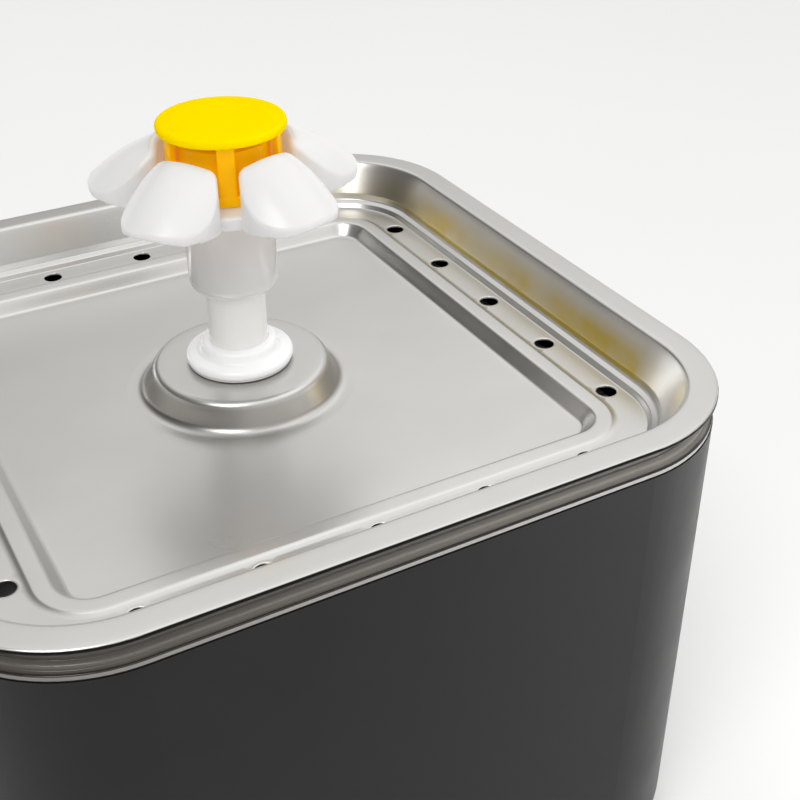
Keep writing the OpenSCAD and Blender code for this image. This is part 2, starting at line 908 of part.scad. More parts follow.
module suction_feet() {
    color([0.85, 0.86, 0.86])
        for (sx = [-1, 1], y = [chamber_front + 8, pump_back - 8])
            translate([sx*(pump_w/2 - 9), y, floor_top])
                rotate_extrude()
                    polygon([[0, 1.2], [3, 0.8], [6, 0], [6.4, 0.3], [3.4, 2.2], [2.2, cup_h], [0, cup_h]]);
}

// ---- power lead and socket --------------------------------------------------------------

// Rings of points round each point of the route, square to it, all in the plane x = 0
module swept_lead(route, r, sides) {
    last = len(route) - 1;
    function along(i) = unit(route[min(i + 1, last)] - route[max(i - 1, 0)]);
    rings = [for (i = [0:last])
        let (t = along(i), n = [0, -t[2], t[1]])
            for (k = [0:sides - 1])
                route[i] + r*(cos(360*k/sides)*[1, 0, 0] + sin(360*k/sides)*n)];
    walls = [for (i = [0:last - 1], k = [0:sides - 1])
        [i*sides + k, i*sides + (k + 1)%sides, (i + 1)*sides + (k + 1)%sides, (i + 1)*sides + k]];
    ends = [[for (k = [sides - 1:-1:0]) k], [for (k = [0:sides - 1]) last*sides + k]];
    polyhedron(points = rings, faces = concat(walls, ends), convexity = 4);
}

module pump_lead() {
    color([0.07, 0.07, 0.08])
        swept_lead(lead_route, lead_r, 8);
}

module lead_clips() {
    color([0.14, 0.14, 0.15])
        for (z = clip_z)
            difference() {
                translate([-clip_w/2, lead_y - clip_lip, z])
                    cube([clip_w, tank_half - lead_y + clip_lip, clip_h]);
                translate([0, lead_y, z - 1])
                    cylinder(r = lead_r + slip, h = clip_h + 2);
                translate([-clip_mouth/2, lead_y - 2*clip_lip, z - 1])
                    cube([clip_mouth, 2*clip_lip, clip_h + 2]);
            }
}

module inlet_socket() {
    color([0.08, 0.08, 0.09])
        difference() {
            union() {
                rod(socket_flange_r, wall_out + seal_t, wall_out + seal_t + socket_flange_t, socket_z);
                rod(socket_r, socket_end, wall_out + seal_t + 0.5, socket_z);
                translate([-lead_r, socket_end, tail_z])
                    cube([2*lead_r, 2*lead_r, socket_z - tail_z]);
            }
            rod(2.75, socket_end + 2, body_half + 1, socket_z);
            rod(1, socket_end + 0.8, socket_end + 3, socket_z);
        }
}

module inlet_seal() {
    color([0.22, 0.22, 0.23])
        difference() {
            rod(socket_flange_r, wall_out, wall_out + seal_t, socket_z);
            rod(socket_r + slip, wall_out - 1, wall_out + seal_t + 1, socket_z);
        }
}

module inlet_nut() {
    color([0.18, 0.18, 0.19])
        difference() {
            translate([0, wall_in, socket_z])
                rotate([90, 30, 0])
                    cylinder(r = socket_r + 3, h = nut_t, $fn = 6);
            rod(socket_r + slip, wall_in - nut_t - 1, wall_in + 1, socket_z);
        }
}

module inlet_pin() {
    color([0.80, 0.70, 0.40])
        rod(1, socket_end + 0.8, wall_out - 0.5, socket_z);
}

// ---- pieces -----------------------------------------------------------------------------

body_tank();
foot_pads();
rim_ring();
tray_lid();
boss_gasket();
stem_collar();
stem_tube();
stem_sleeve();
flower_bloom();
spout_crown();
riser_tube();
filter_basket();
filter_cover();
fibre_pad();
carbon_pack();
pump_housing();
volute_cover();
pump_strainer();
intake_foam();
flow_dial();
impeller_rotor();
rotor_shaft();
shaft_bushes();
stator_core();
stator_coil();
outlet_nozzle();
suction_feet();
pump_lead();
lead_clips();
inlet_socket();
inlet_seal();
inlet_nut();
inlet_pin();
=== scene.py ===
import json
import math

import bmesh
import bpy
import numpy as np
from mathutils import Matrix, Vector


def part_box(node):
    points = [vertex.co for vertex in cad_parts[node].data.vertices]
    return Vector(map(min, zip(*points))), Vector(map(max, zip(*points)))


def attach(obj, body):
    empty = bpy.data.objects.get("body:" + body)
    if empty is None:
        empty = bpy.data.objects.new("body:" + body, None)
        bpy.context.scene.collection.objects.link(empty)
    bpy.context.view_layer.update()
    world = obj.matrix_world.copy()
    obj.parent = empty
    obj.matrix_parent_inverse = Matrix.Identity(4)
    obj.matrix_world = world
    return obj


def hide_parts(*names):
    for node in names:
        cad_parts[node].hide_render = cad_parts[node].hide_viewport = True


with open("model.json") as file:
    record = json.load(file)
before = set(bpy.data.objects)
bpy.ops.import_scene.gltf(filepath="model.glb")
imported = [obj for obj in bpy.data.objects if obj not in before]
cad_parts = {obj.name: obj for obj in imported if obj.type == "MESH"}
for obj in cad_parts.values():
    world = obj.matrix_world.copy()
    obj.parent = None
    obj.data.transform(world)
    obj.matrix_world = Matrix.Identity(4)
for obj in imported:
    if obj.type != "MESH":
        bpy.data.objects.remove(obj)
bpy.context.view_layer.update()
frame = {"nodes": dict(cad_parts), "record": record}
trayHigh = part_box("tray_lid")[1]
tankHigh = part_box("body_tank")[1]
rimLow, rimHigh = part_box("rim_ring")
print("frame loaded,", len(frame["nodes"]), "nodes")

camera = dict(
    place=(-0.10160, -0.26666, 0.30956),      # metres
    forward=(0.4089, 0.7348, -0.5411),
    roll=-0.0054,                     # radians, clockwise is negative
    focal=57.57885, sensor=36,        # mm
    clipStart=0.01, clipEnd=60,       # metres
)


def aimCamera(values):
    # looks along forward, with its right side level before it is rolled about that direction
    forward = np.array(values["forward"]) / np.linalg.norm(values["forward"])
    level = np.cross(forward, (0, 0, 1))
    level /= np.linalg.norm(level)
    right = level * math.cos(values["roll"]) + np.cross(level, forward) * math.sin(values["roll"])
    upward = np.cross(right, forward)
    lens = bpy.data.cameras.new("viewCamera")
    lens.sensor_width = values["sensor"]
    lens.lens = values["focal"]
    lens.clip_start = values["clipStart"]
    lens.clip_end = values["clipEnd"]
    eye = bpy.data.objects.new("viewCamera", lens)
    bpy.context.scene.collection.objects.link(eye)
    turn = Matrix([list(right), list(upward), list(-forward)]).transposed()
    eye.matrix_world = Matrix.Translation(values["place"]) @ turn.to_4x4()
    bpy.context.scene.camera = eye


aimCamera(camera)
print("camera aimed")


def meshPiece(name, points, faces, weldGap=0.0, smoothAngle=None, smooth=True):
    # a mesh object from an array of points and a list of face arrays: points closer than weldGap become one, and
    # every face is turned outwards
    made = bpy.data.meshes.new(name)
    made.from_pydata(np.asarray(points, float).tolist(), [], [f for part in faces for f in part.tolist()])
    shape = bmesh.new()
    shape.from_mesh(made)
    if weldGap > 0:
        bmesh.ops.remove_doubles(shape, verts=shape.verts, dist=weldGap)
        bmesh.ops.dissolve_degenerate(shape, edges=shape.edges, dist=weldGap)
    bmesh.ops.recalc_face_normals(shape, faces=shape.faces)
    shape.to_mesh(made)
    shape.free()
    if smooth:
        made.shade_smooth()
    if smoothAngle is not None:
        made.set_sharp_from_angle(angle=math.radians(smoothAngle))
    piece = bpy.data.objects.new(name, made)
    bpy.context.scene.collection.objects.link(piece)
    return piece


def gridQuads(rows, columns, closedRows=False):
    # quads of a rows x columns grid of points whose columns close into a ring: (i, j), (i, j+1), (i+1, j+1), (i+1, j)
    i = np.arange(rows if closedRows else rows - 1)[:, None]
    j = np.arange(columns)[None, :]
    nextI, nextJ = (i + 1) % rows, (j + 1) % columns
    corners = [i * columns + j, i * columns + nextJ, nextI * columns + nextJ, nextI * columns + j]
    return np.stack([np.broadcast_to(c, (i.size, j.size)).ravel() for c in corners], axis=1)


def rounded(path, steps=6):
    # a line of (x, z, radius) corners as points: each corner becomes the arc that touches both its sides
    corners = np.array([p[:2] for p in path], float)
    made = [corners[0]]
    for at in range(1, len(path) - 1):
        radius = path[at][2]
        a, b, c = corners[at - 1], corners[at], corners[at + 1]
        p, q = (a - b) / np.linalg.norm(a - b), (c - b) / np.linalg.norm(c - b)
        half = math.acos(np.clip(p @ q, -1, 1)) / 2
        if radius <= 0:
            made.append(b)
            continue
        centre = b + (p + q) / np.linalg.norm(p + q) * radius / math.sin(half)
        start, end = b + p * radius / math.tan(half) - centre, b + q * radius / math.tan(half) - centre
        t = np.linspace(0, 1, steps + 1)[:, None]
        swing = math.acos(np.clip(start @ end / radius ** 2, -1, 1))
        made.extend(centre + (np.sin((1 - t) * swing) * start + np.sin(t * swing) * end) / math.sin(swing))
    made.append(corners[-1])
    return np.array(made)


def finer(line, step):
    # the same line with points no further apart than step
    made = [line[:1]]
    for a, b in zip(line[:-1], line[1:]):
        count = max(1, int(math.ceil(np.linalg.norm(b - a) / step)))
        made.append(a + (b - a) * (np.arange(1, count + 1) / count)[:, None])
    return np.concatenate(made)


def lathe(name, profile, columns, smoothAngle, closed=True):
    # a profile of (r, z) turned round the Z axis: (r cos a, r sin a, z); a closed one joins its end to its start
    a = np.linspace(0, 2 * math.pi, columns, endpoint=False)[None, :]
    r, z = profile[:, 0][:, None], profile[:, 1][:, None]
    points = np.stack([r * np.cos(a), r * np.sin(a), z + 0 * a], axis=-1).reshape(-1, 3)
    return meshPiece(name, points, [gridQuads(len(profile), columns, closed)], weldGap=1e-6, smoothAngle=smoothAngle)


def sideAxes(k):
    # the outward direction of side k of a square, and the direction along it
    a = k * math.pi / 2
    return np.array([math.cos(a), math.sin(a)]), np.array([-math.sin(a), math.cos(a)])


def squareLoop(half, sideSteps, cornerSteps):
    # round a square of the given half width: the point on it and the outward direction,
    # which fans over 90 degrees at each corner
    foot, out = [], []
    for k in range(4):
        across, along = sideAxes(k)
        foot.append(half * across + np.asarray(sideSteps)[:, None] * along)
        out.append(np.tile(across, (len(sideSteps), 1)))
        t = k * math.pi / 2 + np.linspace(0, math.pi / 2, cornerSteps + 1)[1:-1]
        foot.append(np.tile(half * (across + along), (len(t), 1)))
        out.append(np.stack([np.cos(t), np.sin(t)], axis=1))
    return np.concatenate(foot), np.concatenate(out)


def sweepSquare(profile, foot, out):
    # a profile of (d, z) carried round the square: foot + d * outward, at height z
    flat = foot[None] + profile[:, 0][:, None, None] * out[None]
    height = np.broadcast_to(profile[:, 1][:, None, None], flat.shape[:2] + (1,))
    return np.concatenate([flat, height], axis=-1)


def finishPiece(piece, body, nodes, material):
    # the piece rides on the body and stands in for the CAD nodes
    piece.data.materials.append(material)
    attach(piece, body)
    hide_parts(*nodes)


def addNode(tree, kind, inputs=None, **settings):
    # a node with its settings made and plain values written into its inputs
    made = tree.nodes.new(kind)
    for key, value in settings.items():
        setattr(made, key, value)
    for key, value in (inputs or {}).items():
        made.inputs[key].default_value = value
    return made


def startMaterial(name):
    # a new material with its tree, its shader and the place on the piece in metres
    made = bpy.data.materials.new(name)
    made.use_nodes = True
    tree = made.node_tree
    place = addNode(tree, "ShaderNodeTexCoord").outputs["Object"]
    return made, tree, tree.nodes["Principled BSDF"], place


def grain(tree, place, scale, detail=2.0, stretch=(1, 1, 1), roughness=0.5):
    # soft noise: scale is the number of blots to a metre, stretch makes them longer where it is under 1
    spread = addNode(tree, "ShaderNodeMapping", {"Scale": stretch})
    tree.links.new(place, spread.inputs["Vector"])
    noise = addNode(tree, "ShaderNodeTexNoise", {"Scale": scale, "Detail": detail, "Roughness": roughness})
    tree.links.new(spread.outputs["Vector"], noise.inputs["Vector"])
    return noise.outputs["Fac"]


def between(tree, factor, low, high, fromLow=0.3, fromHigh=0.7):
    # low up to fromLow, high from fromHigh on, and a straight climb from one to the other
    spread = addNode(tree, "ShaderNodeMapRange", {
        "From Min": fromLow, "From Max": fromHigh, "To Min": low, "To Max": high})
    tree.links.new(factor, spread.inputs["Value"])
    return spread.outputs["Result"]


def blendColours(tree, factor, first, second):
    # the first colour at 0 and the second at 1; each is three numbers or a node's output
    mix = addNode(tree, "ShaderNodeMix", data_type="RGBA")
    tree.links.new(factor, mix.inputs["Factor"])
    for socket, value in ((mix.inputs[6], first), (mix.inputs[7], second)):      # the two colour sockets, A and B
        if hasattr(value, "links"):
            tree.links.new(value, socket)
        else:
            socket.default_value = (*value, 1)
    return mix.outputs[2]


def colourRamp(tree, factor, stops):
    # the colour at a factor from 0 to 1, blended evenly between the (position, colour) stops
    ramp = addNode(tree, "ShaderNodeValToRGB")
    marks = ramp.color_ramp.elements
    while len(marks) < len(stops):
        marks.new(0.5)
    for mark, (position, colour) in zip(marks, stops):
        mark.position = position
        mark.color = (*colour, 1)
    tree.links.new(factor, ramp.inputs["Fac"])
    return ramp.outputs["Color"]


def coordinates(tree, place):
    # the X, Y and Z of a place
    split = addNode(tree, "ShaderNodeSeparateXYZ")
    tree.links.new(place, split.inputs["Vector"])
    return split.outputs["X"], split.outputs["Y"], split.outputs["Z"]


def vectorMath(tree, operation, first, second=None):
    # second is three numbers, a node's output, or left out where the operation takes one vector
    step = addNode(tree, "ShaderNodeVectorMath", operation=operation)
    tree.links.new(first, step.inputs[0])
    if hasattr(second, "links"):
        tree.links.new(second, step.inputs[1])
    elif second is not None:
        step.inputs[1].default_value = second
    return step.outputs["Value" if operation in ("LENGTH", "DOT_PRODUCT") else "Vector"]


def multiply(tree, first, others):
    # the first factor times each of the others
    for factor in others:
        both = addNode(tree, "ShaderNodeMath", operation="MULTIPLY")
        tree.links.new(first, both.inputs[0])
        tree.links.new(factor, both.inputs[1])
        first = both.outputs["Value"]
    return first


def beyondSquare(tree, place, half):
    # how far a point lies outside a square of the given half width, seen from above: |max(|p| - half, 0)|
    place = vectorMath(tree, "ABSOLUTE", place)
    place = vectorMath(tree, "SUBTRACT", place, (half, half, 1))      # 1 m down, so that height never counts
    return vectorMath(tree, "LENGTH", vectorMath(tree, "MAXIMUM", place, (0, 0, 0)))


def addBump(tree, shader, heights):
    # a chain of bumps: each (height, strength, distance) lies on the one before
    below = None
    for height, strength, distance in heights:
        bump = addNode(tree, "ShaderNodeBump", {"Strength": strength, "Distance": distance})
        tree.links.new(height, bump.inputs["Height"])
        if below is not None:
            tree.links.new(below, bump.inputs["Normal"])
        below = bump.outputs["Normal"]
    tree.links.new(below, shader.inputs["Normal"])


moulding = dict(
    cloudScale=55, cloudDetail=3, cloudBump=0.04, cloudDepth=0.0006,      # slow change of tone and of gloss
    speckScale=1600, speckBump=0.02, speckDepth=0.00006,                  # fine pebble
    glossLow=0.88, glossHigh=1.12, index=1.5,
)


def mouldedPlastic(name, colour, shade, roughness, pebble=0.0, coat=0.0, coatRoughness=0.05,
                   glow=0.0, shine=0.5, depth=(0.004, 0.0035, 0.003)):
    # a slow change of tone, a little unevenness of gloss, and a fine pebble where it is matt
    v = moulding
    made, tree, shader, place = startMaterial(name)
    cloudy = grain(tree, place, v["cloudScale"], v["cloudDetail"])
    speck = grain(tree, place, v["speckScale"])
    tree.links.new(blendColours(tree, between(tree, cloudy, 0, 1), colour, shade), shader.inputs["Base Color"])
    gloss = between(tree, cloudy, roughness * v["glossLow"], roughness * v["glossHigh"])
    tree.links.new(gloss, shader.inputs["Roughness"])
    addBump(tree, shader, [(cloudy, v["cloudBump"], v["cloudDepth"]),
                           (speck, v["speckBump"] + pebble, v["speckDepth"])])
    shader.inputs["IOR"].default_value = v["index"]
    shader.inputs["Specular IOR Level"].default_value = shine
    shader.inputs["Coat Weight"].default_value = coat
    shader.inputs["Coat Roughness"].default_value = coatRoughness
    if glow > 0:
        shader.inputs["Subsurface Weight"].default_value = glow
        shader.inputs["Subsurface Radius"].default_value = depth
        shader.inputs["Subsurface Scale"].default_value = 1.0
    return made


def paintGlow(material, colour, strength):
    # a painted glow: the material gives off light of its own, though it is no lamp, standing in for the light that
    # gathers inside thin translucent walls
    shader = material.node_tree.nodes["Principled BSDF"]
    shader.inputs["Emission Color"].default_value = (*colour, 1)
    shader.inputs["Emission Strength"].default_value = strength


squareHalf = 0.0587          # half width of the square that the sections of the tray and the rim go round

warmWallTintAndHighlight = dict(             # heights and places in metres
    square=squareHalf, inner=0.0229, outer=0.0235, sideFrom=0.050, sideTo=0.060,
    foot=0.1396, low=0.1401, mid=0.1440, top=0.1478, lineLow=0.1404, lineHigh=0.1411, brow=0.1497, browFade=0.0010,
    startFrom=-0.074, startTo=-0.056, fadeFrom=0.035, fadeTo=0.078, fadeLeast=0.1, lineMost=0.9,
    patchScale=42, patchDetail=3, patchStretch=(0.3, 1, 1.6), patchFrom=0.36, patchTo=0.58, patchLeast=0.45,
    # bright is the colour of a painted highlight on the wall's front corner
    paleTint=(0.60, 0.58, 0.535), warmTint=(0.56, 0.42, 0.11), line=(0.60, 0.44, 0.06), bright=(1.0, 0.99, 0.97),
)


def paintWarmTintAndHighlight(tree, place, tone, v):
    # a warm tint on the tray's wall towards +X, between its foot and the flange: a pale tint, a patchy warm tint
    # that thins out upwards and along Y, a warm line at the foot, and a painted highlight on the front corner,
    # where the pale tint hasn't started
    x, y, z = coordinates(tree, place)
    wall = between(tree, beyondSquare(tree, place, v["square"]), 0, 1, v["inner"], v["outer"])
    belowFlange = between(tree, z, 1, 0, v["brow"] - v["browFade"], v["brow"])
    side = multiply(tree, between(tree, x, 0, 1, v["sideFrom"], v["sideTo"]), (wall, belowFlange))
    foot = between(tree, z, 0, 1, v["foot"], v["low"])
    height = between(tree, z, 1, 0, v["mid"], v["top"])
    start = between(tree, y, 0, 1, v["startFrom"], v["startTo"])
    corner = between(tree, y, 1, 0, v["startFrom"], v["startTo"])
    fade = between(tree, y, 1, v["fadeLeast"], v["fadeFrom"], v["fadeTo"])
    blots = grain(tree, place, v["patchScale"], v["patchDetail"], v["patchStretch"])
    patch = between(tree, blots, v["patchLeast"], 1, v["patchFrom"], v["patchTo"])
    line = between(tree, z, v["lineMost"], 0, v["lineLow"], v["lineHigh"])
    tone = blendColours(tree, multiply(tree, side, (start, foot)), tone, v["paleTint"])
    tone = blendColours(tree, multiply(tree, patch, (side, height, foot, start, fade)), tone, v["warmTint"])
    tone = blendColours(tree, multiply(tree, line, (side, foot, start, fade)), tone, v["line"])
    # a painted highlight on the front corner of the wall, where the pale tint hasn't started
    return blendColours(tree, multiply(tree, corner, (side, foot)), tone, v["bright"])


# painted shade on the flank of the boss and on the flange's cut edge
flankAndEdgeShade = dict(
    square=squareHalf, flankIn=0.0222, flankInFull=0.0228, flankOutFull=0.0250, flankOut=0.0262,      # from the axis
    flankShade=(0.43, 0.415, 0.39),
    cutFrom=0.03605, cutTo=0.03615, edgeShade=(0.014, 0.012, 0.010),                                        # from the square
)


def paintFlankAndEdgeShade(tree, place, tone, v):
    # painted shade: a darker ring where the boss slopes down, and a dark band on the cut edge of the sheet
    away = vectorMath(tree, "LENGTH", vectorMath(tree, "MULTIPLY", place, (1, 1, 0)))
    flankShade = multiply(tree, between(tree, away, 0, 1, v["flankIn"], v["flankInFull"]),
                     (between(tree, away, 1, 0, v["flankOutFull"], v["flankOut"]),))
    edge = between(tree, beyondSquare(tree, place, v["square"]), 0, 1, v["cutFrom"], v["cutTo"])
    return blendColours(tree, edge, blendColours(tree, flankShade, tone, v["flankShade"]), v["edgeShade"])


satin = dict(
    colour=(0.635, 0.63, 0.613), smudged=0.93, roughness=0.30, glossLow=0.85, glossHigh=1.2,
    smudgeScale=26, smudgeDetail=4, smudgeFrom=0.2, smudgeTo=0.8,
    wavyScale=40, wavyDetail=1, wavyBump=0.25, wavyDepth=0.0006,
    fineScale=2600, fineBump=0.05, fineDepth=0.00004,
)


def pressedSteel(name, v, warmTint, shadeOnSteel):
    # satin grain, a slow waviness from the press and faint smudges, with the warm tint and painted highlight on one
    # wall, and painted shade on the flank of the boss and on the cut edge, laid over them
    made, tree, shader, place = startMaterial(name)
    smudge = grain(tree, place, v["smudgeScale"], v["smudgeDetail"])
    fine = grain(tree, place, v["fineScale"])
    wavy = grain(tree, place, v["wavyScale"], v["wavyDetail"])
    tone = blendColours(tree, between(tree, smudge, 0, 1, v["smudgeFrom"], v["smudgeTo"]), v["colour"],
                        tuple(v["smudged"] * c for c in v["colour"]))
    # the warm tint and painted highlight on one wall, then painted shade on the boss's flank and the flange's edge
    tone = paintFlankAndEdgeShade(tree, place, paintWarmTintAndHighlight(tree, place, tone, warmTint), shadeOnSteel)
    tree.links.new(tone, shader.inputs["Base Color"])
    gloss = between(tree, smudge, v["roughness"] * v["glossLow"], v["roughness"] * v["glossHigh"],
                    v["smudgeFrom"], v["smudgeTo"])
    tree.links.new(gloss, shader.inputs["Roughness"])
    addBump(tree, shader, [(wavy, v["wavyBump"], v["wavyDepth"]), (fine, v["fineBump"], v["fineDepth"])])
    shader.inputs["Metallic"].default_value = 1.0
    return made


rimPaintedLight = dict(
    low=0.1410, high=0.1470,           # the stops are (height in metres, colour) in this range
    # painted highlight in the bead, painted shade below it, at the shoulder and under the flange
    stops=((0.14212, (0.01, 0.01, 0.01)), (0.14222, (0.60, 0.59, 0.57)), (0.1430, (0.60, 0.59, 0.57)),
           (0.14308, (0.02, 0.018, 0.016)), (0.14336, (0.02, 0.018, 0.016)), (0.14342, (0.30, 0.28, 0.25)),
           (0.1443, (0.24, 0.22, 0.195)), (0.1447, (0.52, 0.49, 0.445)), (0.1449, (0.45, 0.42, 0.38)),
           (0.1450, (0.08, 0.075, 0.068)), (0.1453, (0.08, 0.075, 0.068)), (0.1455, (0.13, 0.12, 0.11))),
    # painted shade towards -X
    paintedShadeFrom=-0.10, paintedShadeTo=0.04, paintedShadeMost=0.75, paintedShadeColour=(0.045, 0.034, 0.026),
    clear=0.25, index=1.49, roughness=0.06, driftScale=30, driftBump=0.03, driftDepth=0.0008,
)


def paintedClearPlastic(name, v):
    # clear moulded wall with painted light: its tone follows the height, with a painted highlight in the bead at its
    # foot and painted shade at its bends and under the flange, and painted shade makes it dimmer towards -X
    made, tree, shader, place = startMaterial(name)
    drift = grain(tree, place, v["driftScale"])
    x, _, z = coordinates(tree, place)
    stops = [((height - v["low"]) / (v["high"] - v["low"]), colour) for height, colour in v["stops"]]
    tone = colourRamp(tree, between(tree, z, 0, 1, v["low"], v["high"]), stops)
    paintedShade = between(tree, x, v["paintedShadeMost"], 0, v["paintedShadeFrom"], v["paintedShadeTo"])
    tree.links.new(blendColours(tree, paintedShade, tone, v["paintedShadeColour"]), shader.inputs["Base Color"])
    tree.links.new(between(tree, drift, v["roughness"], v["roughness"] * 2), shader.inputs["Roughness"])
    addBump(tree, shader, [(drift, v["driftBump"], v["driftDepth"])])
    shader.inputs["Transmission Weight"].default_value = v["clear"]
    shader.inputs["IOR"].default_value = v["index"]
    return made


fleece = dict(detail=6, wildness=0.7, cellShare=1.4, cellBump=0.5, tangleBump=0.6, glossLow=0.95, glossHigh=0.8)


def fibreFleece(name, colour, shade, scale, depth):
    # loose fibre, foam or granules: a tangled bump with painted shade in its hollows
    v = fleece
    made, tree, shader, place = startMaterial(name)
    tangle = grain(tree, place, scale, v["detail"], roughness=v["wildness"])
    cells = addNode(tree, "ShaderNodeTexVoronoi", {"Scale": scale * v["cellShare"]})
    tree.links.new(place, cells.inputs["Vector"])
    tree.links.new(blendColours(tree, between(tree, tangle, 0, 1), shade, colour), shader.inputs["Base Color"])
    tree.links.new(between(tree, tangle, v["glossLow"], v["glossHigh"]), shader.inputs["Roughness"])
    addBump(tree, shader, [(cells.outputs["Distance"], v["cellBump"], depth), (tangle, v["tangleBump"], depth)])
    return made


drawn = dict(stretch=(1, 0.08, 1), hollowShade=0.6, rougher=1.5, bump=0.5, depth=0.0002)


def warmMetal(name, colour, roughness, lines):
    # wound wire, laminated steel or plated brass: fine lines along one way, with painted shade in their hollows
    v = drawn
    made, tree, shader, place = startMaterial(name)
    streak = grain(tree, place, lines, stretch=v["stretch"])
    shade = tuple(v["hollowShade"] * c for c in colour)
    tree.links.new(blendColours(tree, between(tree, streak, 0, 1), colour, shade), shader.inputs["Base Color"])
    tree.links.new(between(tree, streak, roughness, roughness * v["rougher"]), shader.inputs["Roughness"])
    addBump(tree, shader, [(streak, v["bump"], v["depth"])])
    shader.inputs["Metallic"].default_value = 1.0
    return made


milky = dict(colour=(0.90, 0.893, 0.88), shade=(0.86, 0.853, 0.84), roughness=0.16, coat=0.5, coatRoughness=0.06,
             glow=0.5, depth=(0.006, 0.0058, 0.0055))
finishes = {
    "steel": pressedSteel("satinSteel", satin, warmWallTintAndHighlight, flankAndEdgeShade),
    "black_plastic": mouldedPlastic("tankBlack", (0.007, 0.007, 0.007), (0.009, 0.009, 0.009), roughness=0.36,
                                    pebble=0.10, shine=0.21),
    "foot_rubber": mouldedPlastic("footRubber", (0.03, 0.03, 0.032), (0.04, 0.04, 0.042), roughness=0.7, pebble=0.2),
    "clear_plastic": paintedClearPlastic("rimClear", rimPaintedLight),
    "gasket_rubber": mouldedPlastic("sealRubber", (0.02, 0.02, 0.021), (0.03, 0.03, 0.031), roughness=0.6,
                                    pebble=0.1),
    "seal_silicone": mouldedPlastic("sealPale", (0.74, 0.74, 0.73), (0.70, 0.70, 0.69), roughness=0.55, pebble=0.05),
    "white_plastic": mouldedPlastic("petalWhite", (0.64, 0.64, 0.64), (0.63, 0.63, 0.63), roughness=0.32, coat=0.1,
                                    coatRoughness=0.08, glow=0.3),
    "natural_plastic": mouldedPlastic("stemMilky", **milky),
    "yellow_plastic": mouldedPlastic("spoutYellow", (1.0, 0.72, 0.0), (0.98, 0.69, 0.0), roughness=0.24, glow=0.15,
                                     shine=0.0, depth=(0.003, 0.002, 0.0003)),
    "tube_plastic": mouldedPlastic("tubingGrey", (0.62, 0.64, 0.66), (0.56, 0.58, 0.60), roughness=0.35,
                                   pebble=0.05),
    "basket_plastic": mouldedPlastic("basketPale", (0.70, 0.71, 0.72), (0.64, 0.65, 0.66), roughness=0.42,
                                     pebble=0.1),
    "fibre": fibreFleece("padFleece", (0.85, 0.86, 0.88), (0.62, 0.64, 0.66), scale=700, depth=0.0006),
    "carbon": fibreFleece("carbonGrains", (0.05, 0.05, 0.055), (0.008, 0.008, 0.009), scale=520, depth=0.0008),
    "pump_plastic": mouldedPlastic("pumpBlack", (0.022, 0.022, 0.024), (0.03, 0.03, 0.032), roughness=0.5,
                                   pebble=0.15),
    "foam": fibreFleece("intakeSponge", (0.05, 0.052, 0.056), (0.01, 0.01, 0.012), scale=900, depth=0.0007),
    "magnet": mouldedPlastic("rotorDark", (0.03, 0.035, 0.05), (0.04, 0.045, 0.06), roughness=0.4, pebble=0.1),
    "ceramic_white": mouldedPlastic("shaftCeramic", (0.84, 0.83, 0.79), (0.80, 0.79, 0.75), roughness=0.2,
                                    pebble=0.02),
    "core_steel": warmMetal("coreLaminations", (0.42, 0.43, 0.45), roughness=0.4, lines=900),
    "copper": warmMetal("coilCopper", (0.75, 0.33, 0.16), roughness=0.3, lines=1400),
    "suction_vinyl": mouldedPlastic("suctionVinyl", (0.66, 0.69, 0.69), (0.60, 0.63, 0.63), roughness=0.25,
                                    coat=0.2, coatRoughness=0.1, glow=0.3),
    "lead_jacket": mouldedPlastic("leadJacket", (0.015, 0.015, 0.016), (0.022, 0.022, 0.023), roughness=0.5,
                                  pebble=0.1),
    "contact_metal": warmMetal("contactPlated", (0.83, 0.66, 0.33), roughness=0.25, lines=700),
}
slots = {row["node"]: row["material_slot"] for row in frame["record"]["subparts"]}
for name, piece in frame["nodes"].items():
    piece.data.materials.clear()
    piece.data.materials.append(finishes[slots[name]])
print("materials ready")

tray = dict(
    square=squareHalf, sheet=0.0008,
    panelDrop=0.0157, grooveDrop=0.0127, shelfRise=0.0006,                      # from the flange, from the groove
    shelfIn=0.0085, shelfOut=0.0124, grooveIn=0.0134, grooveOut=0.0207,         # outwards from the square
    sweepIn=0.003, slopeRun=0.0029, slopeRound=0.0014, shelfRound=0.0012,
    ledge=((0.0004, 0, 0.0004), (0.0012, 0.0013, 0.0006), (0.0028, 0.0019, 0.0006),
           (0.0033, 0.0038, 0.0012)),                                           # out, up, radius from the groove's edge
    flangeIn=0.0292, flangeRound=0.0014, edgeRound=0.0008, lip=0.0010,
    bossHole=0.0078, bossTop=0.0219, bossBase=0.0253, bossHeight=0.007, bossMoat=0.0295, bossOut=0.0325,
    topRound=0.0020, baseRound=0.0028, moatRound=0.004,
    holeRadius=0.0025, holeCount=5, holePitch=0.0273,
    holeLip=((1.26, 0), (1.16, -0.00001), (1.08, -0.00005), (1.02, -0.00012), (1.0, -0.00024)),      # radii, height
    cellSteps=8, gapSteps=8, cornerSteps=16, panelSteps=8,
    innerStep=0.0012, outerStep=0.0016, bossStep=0.0022,                        # longest edge along the section
)


